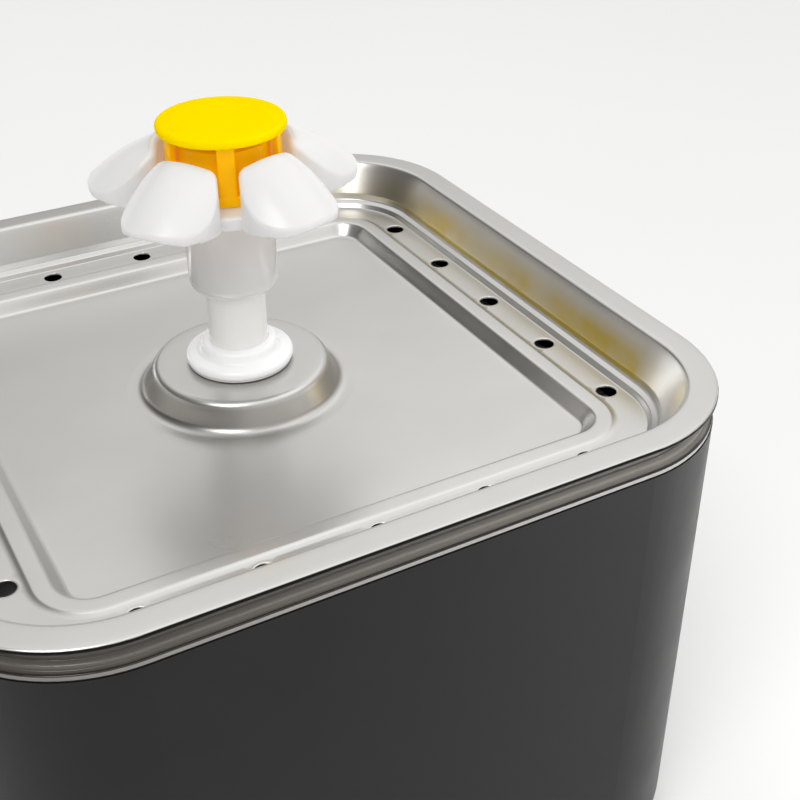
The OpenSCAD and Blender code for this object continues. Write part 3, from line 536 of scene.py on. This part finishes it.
def traySection(v, flangeZ):
    # the pressed section as three lines of (out, z) from the square outwards, each corner an arc: panel, slope and
    # shelf, then the flat groove, then ledge, wall, flange and its lip
    panelZ, grooveZ = flangeZ - v["panelDrop"], flangeZ - v["grooveDrop"]
    shelfZ, edge = grooveZ + v["shelfRise"], trayHigh.x - v["square"]
    inner = rounded([
        (v["sweepIn"], panelZ, 0), (v["shelfIn"] - v["slopeRun"], panelZ, v["slopeRound"]),
        (v["shelfIn"], shelfZ, v["shelfRound"]), (v["shelfOut"], shelfZ, v["shelfRound"]),
        (v["grooveIn"], grooveZ, 0)])
    groove = np.linspace((v["grooveIn"], grooveZ), (v["grooveOut"], grooveZ), v["cellSteps"] + 1)
    ledge = [(v["grooveOut"] + out, grooveZ + rise, radius) for out, rise, radius in v["ledge"]]
    outer = rounded([
        (v["grooveOut"], grooveZ, 0), *ledge, (v["flangeIn"], flangeZ, v["flangeRound"]),
        (edge, flangeZ, v["edgeRound"]), (edge, flangeZ - v["lip"], 0)], steps=7)
    return finer(inner[:-1], v["innerStep"]), groove, finer(outer[1:], v["outerStep"])


def bossSection(v, flangeZ):
    # the boss as a line of (r, z): flat top, slope, and the shallow moat at its foot
    panelZ = flangeZ - v["panelDrop"]
    bossZ = panelZ + v["bossHeight"]
    return finer(rounded([
        (v["bossHole"], bossZ, 0), (v["bossTop"], bossZ, v["topRound"]),
        (v["bossBase"], panelZ - 0.0001, v["baseRound"]), (v["bossMoat"], panelZ, v["moatRound"]),
        (v["bossOut"], panelZ, 0)], steps=9), v["bossStep"])


def drainHoles(v, grid, firstRow, perSide):
    # a cell of the groove's quads round each drain hole gives way to rings that lead from the cell's square border
    # to a circle, whose edge is drawn down a little: all the faces, and the points that the rings add
    rows, columns = grid.shape[:2]
    quads = gridQuads(rows, columns)
    n = v["cellSteps"]
    row, column = quads[:, 0] // columns, quads[:, 0] % columns
    keep = np.ones(len(quads), bool)
    patches, extra, base = [], [], rows * columns
    ring = np.concatenate([
        np.stack([np.zeros(n, int), np.arange(n)], 1), np.stack([np.arange(n), np.full(n, n)], 1),
        np.stack([np.full(n, n), np.arange(n, 0, -1)], 1), np.stack([np.arange(n, 0, -1), np.zeros(n, int)], 1)])
    lip = np.array(v["holeLip"])
    reach = v["holeRadius"] * lip[:, :1]
    for k in range(4):
        for at in range(v["holeCount"]):
            start = k * perSide + 1 + at * (n + v["gapSteps"])
            keep &= ~((row >= firstRow) & (row < firstRow + n) & (column >= start) & (column < start + n))
            edge = (firstRow + ring[:, 0]) * columns + start + ring[:, 1]
            centre = grid[firstRow + n // 2, start + n // 2]
            border = grid.reshape(-1, 3)[edge]
            a = np.arctan2(border[:, 1] - centre[1], border[:, 0] - centre[0])
            circles = np.stack([centre[0] + reach * np.cos(a), centre[1] + reach * np.sin(a),
                                np.broadcast_to(centre[2] + lip[:, 1:], (len(lip), len(a)))], axis=-1)
            count = len(edge)
            ids = np.concatenate([edge[None], base + np.arange(len(lip) * count).reshape(len(lip), count)])
            over = np.roll(ids, -1, axis=1)
            patches.append(np.stack([ids[:-1], over[:-1], over[1:], ids[1:]], axis=-1).reshape(-1, 4)[:, ::-1])
            extra.append(circles.reshape(-1, 3))
            base += len(lip) * count
    return [quads[keep]] + patches, extra


def makeTray(v):
    # the boss turned round Z, the panel as straight lines from it to the square section, and the section carried
    # round the square, with steps along each side that fit the drain holes
    half = (v["grooveOut"] - v["grooveIn"]) / 2
    marks = (np.arange(v["holeCount"]) - (v["holeCount"] - 1) / 2) * v["holePitch"]
    steps = [np.array([-v["square"]])]
    for at, mark in enumerate(marks):
        steps.append(np.linspace(mark - half, mark + half, v["cellSteps"] + 1))
        if at < len(marks) - 1:
            steps.append(np.linspace(mark + half, marks[at + 1] - half, v["gapSteps"] + 1)[1:-1])
    steps.append(np.array([v["square"]]))
    side = np.concatenate(steps)
    foot, out = squareLoop(v["square"], side, v["cornerSteps"])
    inner, groove, outer = traySection(v, trayHigh.z)
    swept = sweepSquare(np.concatenate([inner, groove, outer]), foot, out)
    section = bossSection(v, trayHigh.z)
    turn = np.arctan2(swept[0, :, 1], swept[0, :, 0])
    boss = np.stack([section[:, :1] * np.cos(turn), section[:, :1] * np.sin(turn),
                     np.broadcast_to(section[:, 1:], (len(section), len(turn)))], axis=-1)
    t = np.linspace(0, 1, v["panelSteps"] + 1)[1:-1, None, None]
    panel = boss[-1][None] * (1 - t) + swept[0][None] * t
    grid = np.concatenate([boss, panel, swept])
    firstRow = len(boss) + len(panel) + len(inner)
    faces, extra = drainHoles(v, grid, firstRow, len(side) + v["cornerSteps"] - 1)
    shell = meshPiece("trayShell", np.concatenate([grid.reshape(-1, 3)] + extra), faces, weldGap=2e-6)
    wall = shell.modifiers.new("sheet", "SOLIDIFY")
    wall.thickness = v["sheet"]
    wall.offset = -1                   # the sheet's other face lies inside
    return shell


finishPiece(makeTray(tray), "tray", ["tray_lid"], finishes["steel"])
print("tray pressed")

collarLow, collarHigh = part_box("stem_collar")
tubeLow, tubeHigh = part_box("stem_tube")
sleeveLow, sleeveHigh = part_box("stem_sleeve")
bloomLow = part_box("flower_bloom")[0]
capLow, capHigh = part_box("spout_crown")

stem = dict(
    bore=0.0075, neck=0.0096, collarStep=0.0021, collarEdge=0.0012, collarRise=0.0026, neckRound=0.0011,
    tubeWall=0.0016, tubeRound=0.0003, sleeveWall=0.0012, sleeveRound=0.003, sleeveFloor=0.0034, boreFloor=0.002,
    smoothAngle=40, collarPaintedGlow=0.11, pipePaintedGlow=0.09,
)


def makeStem(v):
    # three turned sections: a collar whose thick foot steps in to a neck, a plain tube, and a sleeve like a cup
    low, high, wide = collarLow.z, collarHigh.z, collarHigh.x
    collar = rounded([
        (v["bore"], low, 0), (wide - 0.0003, low, 0.0002), (wide, low + 0.0006, 0.0006),
        (wide, low + v["collarStep"], v["collarEdge"]), (v["neck"] + 0.0004, low + v["collarRise"], 0.0012),
        (v["neck"], high - 0.0001, v["neckRound"]), (v["bore"], high, 0)], steps=7)
    collarPiece = lathe("collarRing", finer(collar, step=0.001), columns=128, smoothAngle=v["smoothAngle"])
    low, high, wide = tubeLow.z, tubeHigh.z, tubeHigh.x
    bore = wide - v["tubeWall"]
    tube = rounded([
        (bore, low, 0), (wide, low, v["tubeRound"]), (wide, high, v["tubeRound"]), (bore, high, 0)], steps=3)
    tubePiece = lathe("stemPipe", finer(tube, step=0.004), columns=96, smoothAngle=v["smoothAngle"])
    low, high, wide = sleeveLow.z, sleeveHigh.z, sleeveHigh.x
    inner = wide - v["sleeveWall"]
    sleeve = rounded([
        (v["bore"], low + 0.0002, 0), (wide - 0.0002, low, v["sleeveRound"]), (wide, high, 0),
        (inner, high, 0), (inner, low + v["sleeveFloor"], 0.001), (v["bore"], low + v["boreFloor"], 0)], steps=9)
    sleevePiece = lathe("stemSleeve", finer(sleeve, step=0.003), columns=112, smoothAngle=v["smoothAngle"])
    return collarPiece, tubePiece, sleevePiece


collarRing, stemPipe, stemSleeve = makeStem(stem)
# a lighter copy of the white plastic for the collar, which lies in the petals' shade: painted light
collarLitWhite = mouldedPlastic("collarLitWhite", (0.92, 0.92, 0.92), (0.90, 0.90, 0.90), roughness=0.2, coat=0.4,
                             coatRoughness=0.06, glow=0.3)
pipeMilky = mouldedPlastic("pipeMilky", **milky)
# painted glow on the collar and the pipe
paintGlow(collarLitWhite, (1, 1, 1), stem["collarPaintedGlow"])
paintGlow(pipeMilky, (1, 0.99, 0.97), stem["pipePaintedGlow"])
finishPiece(collarRing, "flower", ["stem_collar"], collarLitWhite)
finishPiece(stemPipe, "flower", ["stem_tube"], pipeMilky)
finishPiece(stemSleeve, "flower", ["stem_sleeve"], finishes["natural_plastic"])
print("stem turned")

flower = dict(
    turn=250.7, count=5,
    tip=0.0332, tipRound=0.016, inner=0.0150, gap=0.0024, corner=0.0104, heel=0.0028,
    faceRadius=0.048, acrossRadius=0.0141, faceDrop=0.030,      # the face is part of a ring lying on its side
    lipRise=0.0031, lipArch=0.0255, lipFrom=0.0284, climbFrom=0.018, sideRise=0.0015, lipLeast=0.0003,
    edge=0.0016, underEdge=0.0006, wall=0.0018, apart=0.0002, tiny=1e-8, edgeSteps=8, underSteps=4,
    crown=0.0225, towardsCrown=(0.0, 0.05, 0.12, 0.2, 0.3, 0.42, 0.55, 0.68, 0.8, 0.9, 0.97),      # rings of the face
    # glow is the strength of a painted glow on the petals and the plate
    heartRadius=0.0190, heartWall=0.0016, plateRise=0.0013, plateTop=0.0032, bore=0.0101, glow=0.13,
)


def petalOutline(v, spacing=0.00035):
    # plan of a petal: the tip's arc, a round corner, the straight side of the gap, the heel and the inner arc,
    # mirrored, as points a spacing apart with the direction that leads outwards
    half = math.pi / v["count"]
    side, inward = np.array([math.cos(half), math.sin(half)]), np.array([math.sin(half), -math.cos(half)])
    tipAt = np.array([v["tip"] - v["tipRound"], 0])
    away = v["gap"] + v["corner"]
    along = tipAt @ side + math.sqrt((v["tipRound"] - v["corner"]) ** 2 - (away - inward @ tipAt) ** 2)
    corner = away * inward + along * side
    tipAngle = math.atan2(*(corner - tipAt)[::-1])
    inAngle = half - math.asin((v["gap"] + v["heel"]) / (v["inner"] + v["heel"]))
    heel = (v["inner"] + v["heel"]) * np.array([math.cos(inAngle), math.sin(inAngle)])
    cornerEnd, heelStart = corner - v["corner"] * inward, heel - v["heel"] * inward

    def arc(centre, radius, start, end, outwards=1):
        # points on the arc, all but its last, with the rays that lead out from its centre
        count = max(2, int(abs(end - start) * radius / spacing))
        a = np.linspace(start, end, count + 1)[:-1, None]
        ray = np.concatenate([np.cos(a), np.sin(a)], 1)
        return centre + radius * ray, outwards * ray

    count = int(np.linalg.norm(heelStart - cornerEnd) / spacing)
    t = np.linspace(0, 1, count + 1)[:-1, None]
    parts = [
        arc(tipAt, v["tipRound"], 0, tipAngle),
        arc(corner, v["corner"], tipAngle, half + math.pi / 2),
        (cornerEnd + (heelStart - cornerEnd) * t, np.repeat(-inward[None], count, 0)),
        arc(heel, v["heel"], half + math.pi / 2, inAngle + math.pi),
        arc(np.zeros(2), v["inner"], inAngle, 0, -1),
        (np.array([[v["inner"], 0]]), np.array([[-1.0, 0]])),
    ]
    points, normals = np.concatenate([p for p, _ in parts]), np.concatenate([n for _, n in parts])
    flip = np.array([1, -1])
    return np.concatenate([points, points[-2:0:-1] * flip]), np.concatenate([normals, normals[-2:0:-1] * flip])


def petalShell(v, baseZ):
    # one petal as a grid of rings round its outline: inside face, inside wall, lower edge, outside wall, rounded
    # edge and outside face, whose height is the skin of the ring and whose rings shrink evenly towards its crown
    outline, normal = petalOutline(v)
    crown, apart, edge = np.array([v["crown"], 0]), v["apart"], v["edge"]

    def face(flat, inset):
        # height of the ring's skin: a circle of the across radius carried round a circle about a level line
        across = np.sqrt(np.maximum((v["acrossRadius"] - inset) ** 2 - flat[..., 1] ** 2, v["tiny"]))
        reach = v["faceRadius"] - v["acrossRadius"] + across
        return baseZ - v["faceDrop"] + np.sqrt(np.maximum(reach ** 2 - flat[..., 0] ** 2, v["tiny"]))

    # the lower edge: level at the heel, a smooth climb along the sides, and an arched lip at the tip that hangs higher
    away = np.hypot(outline[:, 0], outline[:, 1])
    lipZ = baseZ + v["lipRise"] - v["lipArch"] + np.sqrt(v["lipArch"] ** 2 - outline[:, 1] ** 2)
    climb = np.clip((away - v["climbFrom"]) / (v["lipFrom"] - v["climbFrom"]), 0, 1)
    sideZ = baseZ + v["sideRise"] * climb ** 2 * (3 - 2 * climb)
    low = np.where(away > v["lipFrom"], np.maximum(lipZ, sideZ + v["lipLeast"]), sideZ)
    spread = np.array(v["towardsCrown"])[:, None, None]

    seat = outline - normal * edge
    slope = np.arctan((face(seat, 0) - face(seat + normal * apart, 0)) / apart)
    arcZ = np.maximum(face(seat, 0) - edge / np.cos(slope), low + v["underEdge"] + apart / 2)
    phi = np.linspace(0, 1, v["edgeSteps"] + 1)[:, None] * (math.pi / 2 - slope)[None]
    arcs = np.concatenate([seat[None] + (edge * np.cos(phi))[..., None] * normal[None],
                           (arcZ[None] + edge * np.sin(phi))[..., None]], -1)
    arcs[..., 2] = np.minimum(arcs[..., 2], face(arcs[..., :2], 0) + apart)
    top = seat[None] * (1 - spread) + crown * spread
    top = np.concatenate([top, face(top, 0)[..., None]], -1)

    turn = np.linspace(-math.pi / 2, 0, v["underSteps"] + 1)[:, None, None]
    brim = outline - normal * v["underEdge"]
    under = np.concatenate([
        brim[None] + v["underEdge"] * np.cos(turn) * normal[None],
        low[None, :, None] + v["underEdge"] * (1 + np.sin(turn))], -1)

    wallLine = outline - normal * v["wall"]
    roof = np.maximum(face(wallLine, v["wall"]), low + apart)
    inside = wallLine[None] * (1 - spread) + crown * spread
    insideZ = np.maximum(face(inside, v["wall"]), (low + apart)[None] * (1 - spread[..., 0]))
    inside = np.concatenate([inside, insideZ[..., None]], -1)
    wallFoot = np.concatenate([wallLine, low[:, None]], 1)[None]
    wallHead = np.concatenate([wallLine, roof[:, None]], 1)[None]

    def cap(inset):
        # a row with the crown's point alone, which closes the face
        return np.broadcast_to([*crown, float(face(crown, inset))], (1, len(outline), 3))

    return np.concatenate([cap(v["wall"]), inside[::-1], wallHead, wallFoot, under, arcs, top, cap(0)])


def makeFlower(v):
    # one petal's grid turned to each of its places round Z, and a turned plate that joins the petals
    baseZ = bloomLow.z
    grid = petalShell(v, baseZ)
    rows, columns = grid.shape[:2]
    a = np.radians(v["turn"]) + (np.arange(v["count"]) + 0.5) * 2 * math.pi / v["count"]
    spin = np.stack([np.cos(a), -np.sin(a), np.sin(a), np.cos(a)], -1).reshape(-1, 2, 2)
    flat = np.einsum("kij,rcj->krci", spin, grid[..., :2])
    whole = np.concatenate([flat, np.broadcast_to(grid[None, ..., 2:], flat.shape[:3] + (1,))], -1)
    quads = gridQuads(rows, columns)
    faces = [quads + k * rows * columns for k in range(v["count"])]
    petals = meshPiece("flowerPetals", whole.reshape(-1, 3), faces, weldGap=2e-6, smoothAngle=60)
    outer, inner = v["heartRadius"], v["heartRadius"] - v["heartWall"]
    plate = rounded([
        (v["bore"], baseZ + v["plateRise"], 0), (inner, baseZ + v["plateRise"], 0.0005), (inner, baseZ, 0.0003),
        (outer, baseZ, 0.0004), (outer, baseZ + v["plateTop"], 0.0006), (v["bore"], baseZ + v["plateTop"], 0)], steps=5)
    return petals, lathe("flowerHeart", finer(plate, step=0.0015), columns=160, smoothAngle=45)


# painted glow on the petals and the plate
paintGlow(finishes["white_plastic"], (1, 1, 1), flower["glow"])
for piece in makeFlower(flower):
    finishPiece(piece, "flower", ["flower_bloom"], finishes["white_plastic"])
print("flower made")

spout = dict(
    turn=flower["turn"], count=flower["count"],
    capRadius=0.0152, capThick=0.0026, capCrown=0.0003, capRound=0.0011, capFlat=0.0112, recess=0.0006,
    ringUp=0.0102, ringRadius=0.0138, ringWall=0.0016, ringFloor=0.0016, ringHigh=0.0024,
    legWidth=0.0042, legBevel=0.00035, legSteps=6, sunkFoot=0.0006, sunkHead=0.0007,
    # glow is the strength of a painted glow on the ring and the legs
    spigotOut=0.0096, spigotBore=0.0083, riserOut=0.0112, riserWall=0.0014, riserGap=0.0022, fine=0.0003, glow=0.13,
)


def makeSpout(v):
    # a turned cap, a turned ring with its spigot below and a riser inside, and legs: a bevelled section that is
    # bent round Z to r = its depth and a = its width / r, and drawn straight up from the ring to the cap
    top, fine = capHigh.z, v["fine"]
    under = top - v["capThick"]
    ringZ = capLow.z + v["ringUp"]
    windowZ, floorZ, riserZ = ringZ + v["ringHigh"], ringZ + v["ringFloor"], under - v["riserGap"]
    outer, inner = v["ringRadius"], v["ringRadius"] - v["ringWall"]
    cap = rounded([
        (0, under + v["recess"], 0), (outer - 0.0006, under + v["recess"], 0.0002), (outer, under, 0.0001),
        (v["capRadius"] - 0.0001, under, 0.0006), (v["capRadius"], under + 0.0008, 0.0006),
        (v["capRadius"], top - v["capCrown"] - 0.0002, v["capRound"]), (v["capFlat"], top, 0.012), (0, top, 0)],
        steps=8)
    disc = lathe("spoutCap", finer(cap, step=0.0015), columns=144, smoothAngle=45, closed=False)
    riserOut, riserIn, bore = v["riserOut"], v["riserOut"] - v["riserWall"], v["spigotBore"]
    base = rounded([
        (bore, capLow.z, 0), (v["spigotOut"], capLow.z, fine), (v["spigotOut"], ringZ, 0), (outer, ringZ, fine),
        (outer, windowZ, fine), (inner, windowZ, 0.0002), (inner, floorZ, 0), (riserOut, floorZ, fine),
        (riserOut, riserZ, 0.0004), (riserIn, riserZ, 0.0004), (riserIn, floorZ, fine), (bore, floorZ, 0)],
        steps=4)
    foot = lathe("spoutRing", finer(base, step=0.002), columns=120, smoothAngle=40)
    half, bevel = v["legWidth"] / 2, v["legBevel"]
    section = rounded([
        (0, inner, 0), (half, inner, bevel), (half, outer, bevel), (-half, outer, bevel), (-half, inner, bevel),
        (0, inner, 0)], steps=4)[:-1]
    z = np.linspace(windowZ - v["sunkFoot"], under + v["sunkHead"], v["legSteps"] + 1)
    turns = np.radians(v["turn"]) + np.arange(v["count"]) * 2 * math.pi / v["count"]
    r = np.broadcast_to(section[:, 1][None, None], (len(turns), len(z), len(section)))
    a = np.broadcast_to(turns[:, None, None] + (section[:, 0] / outer)[None, None, :], r.shape)
    points = np.stack([r * np.cos(a), r * np.sin(a), np.broadcast_to(z[None, :, None], r.shape)], -1)
    step = len(z) * len(section)
    faces = [gridQuads(len(z), len(section)) + k * step for k in range(len(turns))]
    legs = meshPiece("spoutLegs", points.reshape(-1, 3), faces, weldGap=1e-7, smoothAngle=40)
    return disc, foot, legs


spoutCap, spoutRing, spoutLegs = makeSpout(spout)
# a shaded copy of the spout's yellow plastic for the ring and legs: painted shade and bounced light make it deeper
# orange
shadedYellow = mouldedPlastic("spoutShadedYellow", (0.96, 0.50, 0.0), (0.94, 0.46, 0.0), roughness=0.26, glow=0.3,
                            shine=0.1, depth=(0.004, 0.0020, 0.0003))
paintGlow(shadedYellow, (1.0, 0.50, 0.0), spout["glow"])
for piece, finish in ((spoutCap, finishes["yellow_plastic"]), (spoutRing, shadedYellow), (spoutLegs, shadedYellow)):
    finishPiece(piece, "crown", ["spout_crown"], finish)
print("spout made")

rim = dict(
    square=squareHalf, bore=0.0903, wall=0.0015, skirtWall=0.0016,
    beadHigh=0.0015, beadIn=0.0012, shoulderLow=0.0017, shoulderHigh=0.0028, wallFoot=0.0031,      # from the tank's top
    webThick=0.0024, webIn=0.0027, webTop=0.0017, webReach=0.0049, webDrop=0.0026, webFoot=0.001, webRound=0.0004,
    webBevel=0.0003,
    fine=0.0003, tiny=0.0001, sideSteps=12, cornerSteps=24,
)


def makeRim(v):
    # the ring: a section of skirt, bead, shoulder and wall carried round the square; the webs: an outline in the
    # plane across the side, in four layers of which the outer two are drawn in for the bevel, three to a side
    top, low, seatZ, fine = rimHigh.z, rimLow.z, tankHigh.z, v["fine"]
    bore = v["bore"] - v["square"]
    outer, skirt, wall = rimHigh.x - v["square"], bore + v["skirtWall"], bore + v["wall"]
    shoulder = outer - v["beadIn"]
    section = rounded([
        (bore, low, fine), (skirt, low, fine), (skirt, seatZ, 0), (outer, seatZ, 0.0002),
        (outer, seatZ + v["beadHigh"], fine), (shoulder, seatZ + v["shoulderLow"], 0.0002),
        (shoulder, seatZ + v["shoulderHigh"], 0.0005), (wall, seatZ + v["wallFoot"], 0.0005), (wall, top, fine),
        (bore, top, fine), (bore, low + v["tiny"], 0)], steps=4)
    foot, out = squareLoop(v["square"], np.linspace(-v["square"], v["square"], v["sideSteps"] + 1), v["cornerSteps"])
    grid = sweepSquare(section, foot, out)
    quads = gridQuads(len(section), len(foot), closedRows=True)
    ring = meshPiece("rimShell", grid.reshape(-1, 3), [quads], weldGap=1e-6, smoothAngle=35)
    inner = bore + v["wall"] / 2 + v["square"]
    tip, webTop = inner - v["webReach"], top - v["tiny"]
    web = rounded([
        (inner, webTop, 0), (inner - v["webTop"], webTop, v["webRound"]), (tip, seatZ, v["webRound"]),
        (tip, seatZ - v["webDrop"], v["webRound"]), (inner, low + v["webFoot"], 0)], steps=3)
    half, bevel = v["webThick"] / 2, v["webBevel"]
    layers = [(-half, bevel), (-half + bevel, 0), (half - bevel, 0), (half, bevel)]
    middle = web.mean(0)
    points, faces, count = [], [], len(web)
    for k in range(4):
        across, along = sideAxes(k)
        for mark in (-1, 0, 1):
            base = len(points) * count
            for shift, inset in layers:
                line = web + (middle - web) * (inset / np.linalg.norm(middle - web, axis=1))[:, None]
                flat = line[:, :1] * across + (mark * (v["square"] - v["webIn"]) + shift) * along
                points.append(np.concatenate([flat, line[:, 1:]], 1))
            faces.append(gridQuads(len(layers), count) + base)
            faces.append((base + np.arange(count))[None, ::-1])
            faces.append((base + (len(layers) - 1) * count + np.arange(count))[None])
    return ring, meshPiece("rimWebs", np.concatenate(points), faces, smooth=False)


for piece in makeRim(rim):
    finishPiece(piece, "tank", ["rim_ring"], finishes["clear_plastic"])
print("rim made")

studio = dict(
    floorHalf=20.0, floorColour=(0.95, 0.95, 0.95), floorShade=0.985, floorRoughness=0.8, driftScale=3,
    sky=((0.0, (0.80, 0.79, 0.77)), (0.18, (0.80, 0.79, 0.77)), (0.27, (0.05, 0.045, 0.04)),
         (0.44, (0.05, 0.045, 0.04)), (0.54, (0.20, 0.195, 0.185)), (0.85, (0.12, 0.12, 0.12))),
    strength=1.25,
    glows=(                            # towards, inner angle, outer angle, brightness
        ((0.386, 0.259, 0.885), 19, 63, 0.83),
        ((0.298, -0.794, 0.530), 20, 62, 0.50),
    ),
    lamps=(                            # name, place, aimed at, size, power, spread in degrees
        ("frontSoftbox", (-0.66, -0.62, 1.32), (0, 0, 0.12), 0.6, 7.4, 180),
        ("sideSoftbox", (0.32, -0.32, 0.30), (0.32, -0.32, 0), 0.18, 0.5, 90),
    ),
)


def lightStudio(v):
    # a wide paper floor, a sky whose tone follows its height with a soft round glow added for each of the glows,
    # and square lamps that look from their place at their aim
    scene = bpy.context.scene
    scene.view_settings.view_transform = "Standard"
    half = v["floorHalf"]
    made = bpy.data.meshes.new("floorSheet")
    made.from_pydata([(-half, -half, 0), (half, -half, 0), (half, half, 0), (-half, half, 0)], [], [(0, 1, 2, 3)])
    floor = bpy.data.objects.new("floorSheet", made)
    scene.collection.objects.link(floor)
    paper, tree, shader, place = startMaterial("floorPaper")
    drift = between(tree, grain(tree, place, v["driftScale"]), 0, 1)
    shade = tuple(v["floorShade"] * c for c in v["floorColour"])
    tree.links.new(blendColours(tree, drift, v["floorColour"], shade), shader.inputs["Base Color"])
    shader.inputs["Roughness"].default_value = v["floorRoughness"]
    made.materials.append(paper)
    sky = bpy.data.worlds.new("studioSky")
    scene.world = sky
    sky.use_nodes = True
    tree = sky.node_tree
    backing = tree.nodes["Background"]
    place = addNode(tree, "ShaderNodeTexCoord").outputs["Generated"]
    total = colourRamp(tree, coordinates(tree, place)[2], v["sky"])
    for towards, innerAngle, outerAngle, bright in v["glows"]:
        facing = vectorMath(tree, "DOT_PRODUCT", place, tuple(np.array(towards) / np.linalg.norm(towards)))
        soft = addNode(tree, "ShaderNodeMapRange", {
            "From Min": math.cos(math.radians(outerAngle)), "From Max": math.cos(math.radians(innerAngle)),
            "To Min": 0.0, "To Max": bright}, interpolation_type="SMOOTHSTEP")
        tree.links.new(facing, soft.inputs["Value"])
        total = vectorMath(tree, "ADD", total, soft.outputs["Result"])
    tree.links.new(total, backing.inputs["Color"])
    backing.inputs["Strength"].default_value = v["strength"]
    for name, at, aim, size, power, spread in v["lamps"]:
        glow = bpy.data.lights.new(name, "AREA")
        glow.size = size
        glow.energy = power
        glow.spread = math.radians(spread)
        lamp = bpy.data.objects.new(name, glow)
        scene.collection.objects.link(lamp)
        back = np.array(at, float) - aim
        back /= np.linalg.norm(back)
        side = np.cross((0, 1, 0), back)
        side /= np.linalg.norm(side)
        turn = Matrix([list(side), list(np.cross(back, side)), list(back)]).transposed()
        lamp.matrix_world = Matrix.Translation(at) @ turn.to_4x4()


lightStudio(studio)
print("studio lit")
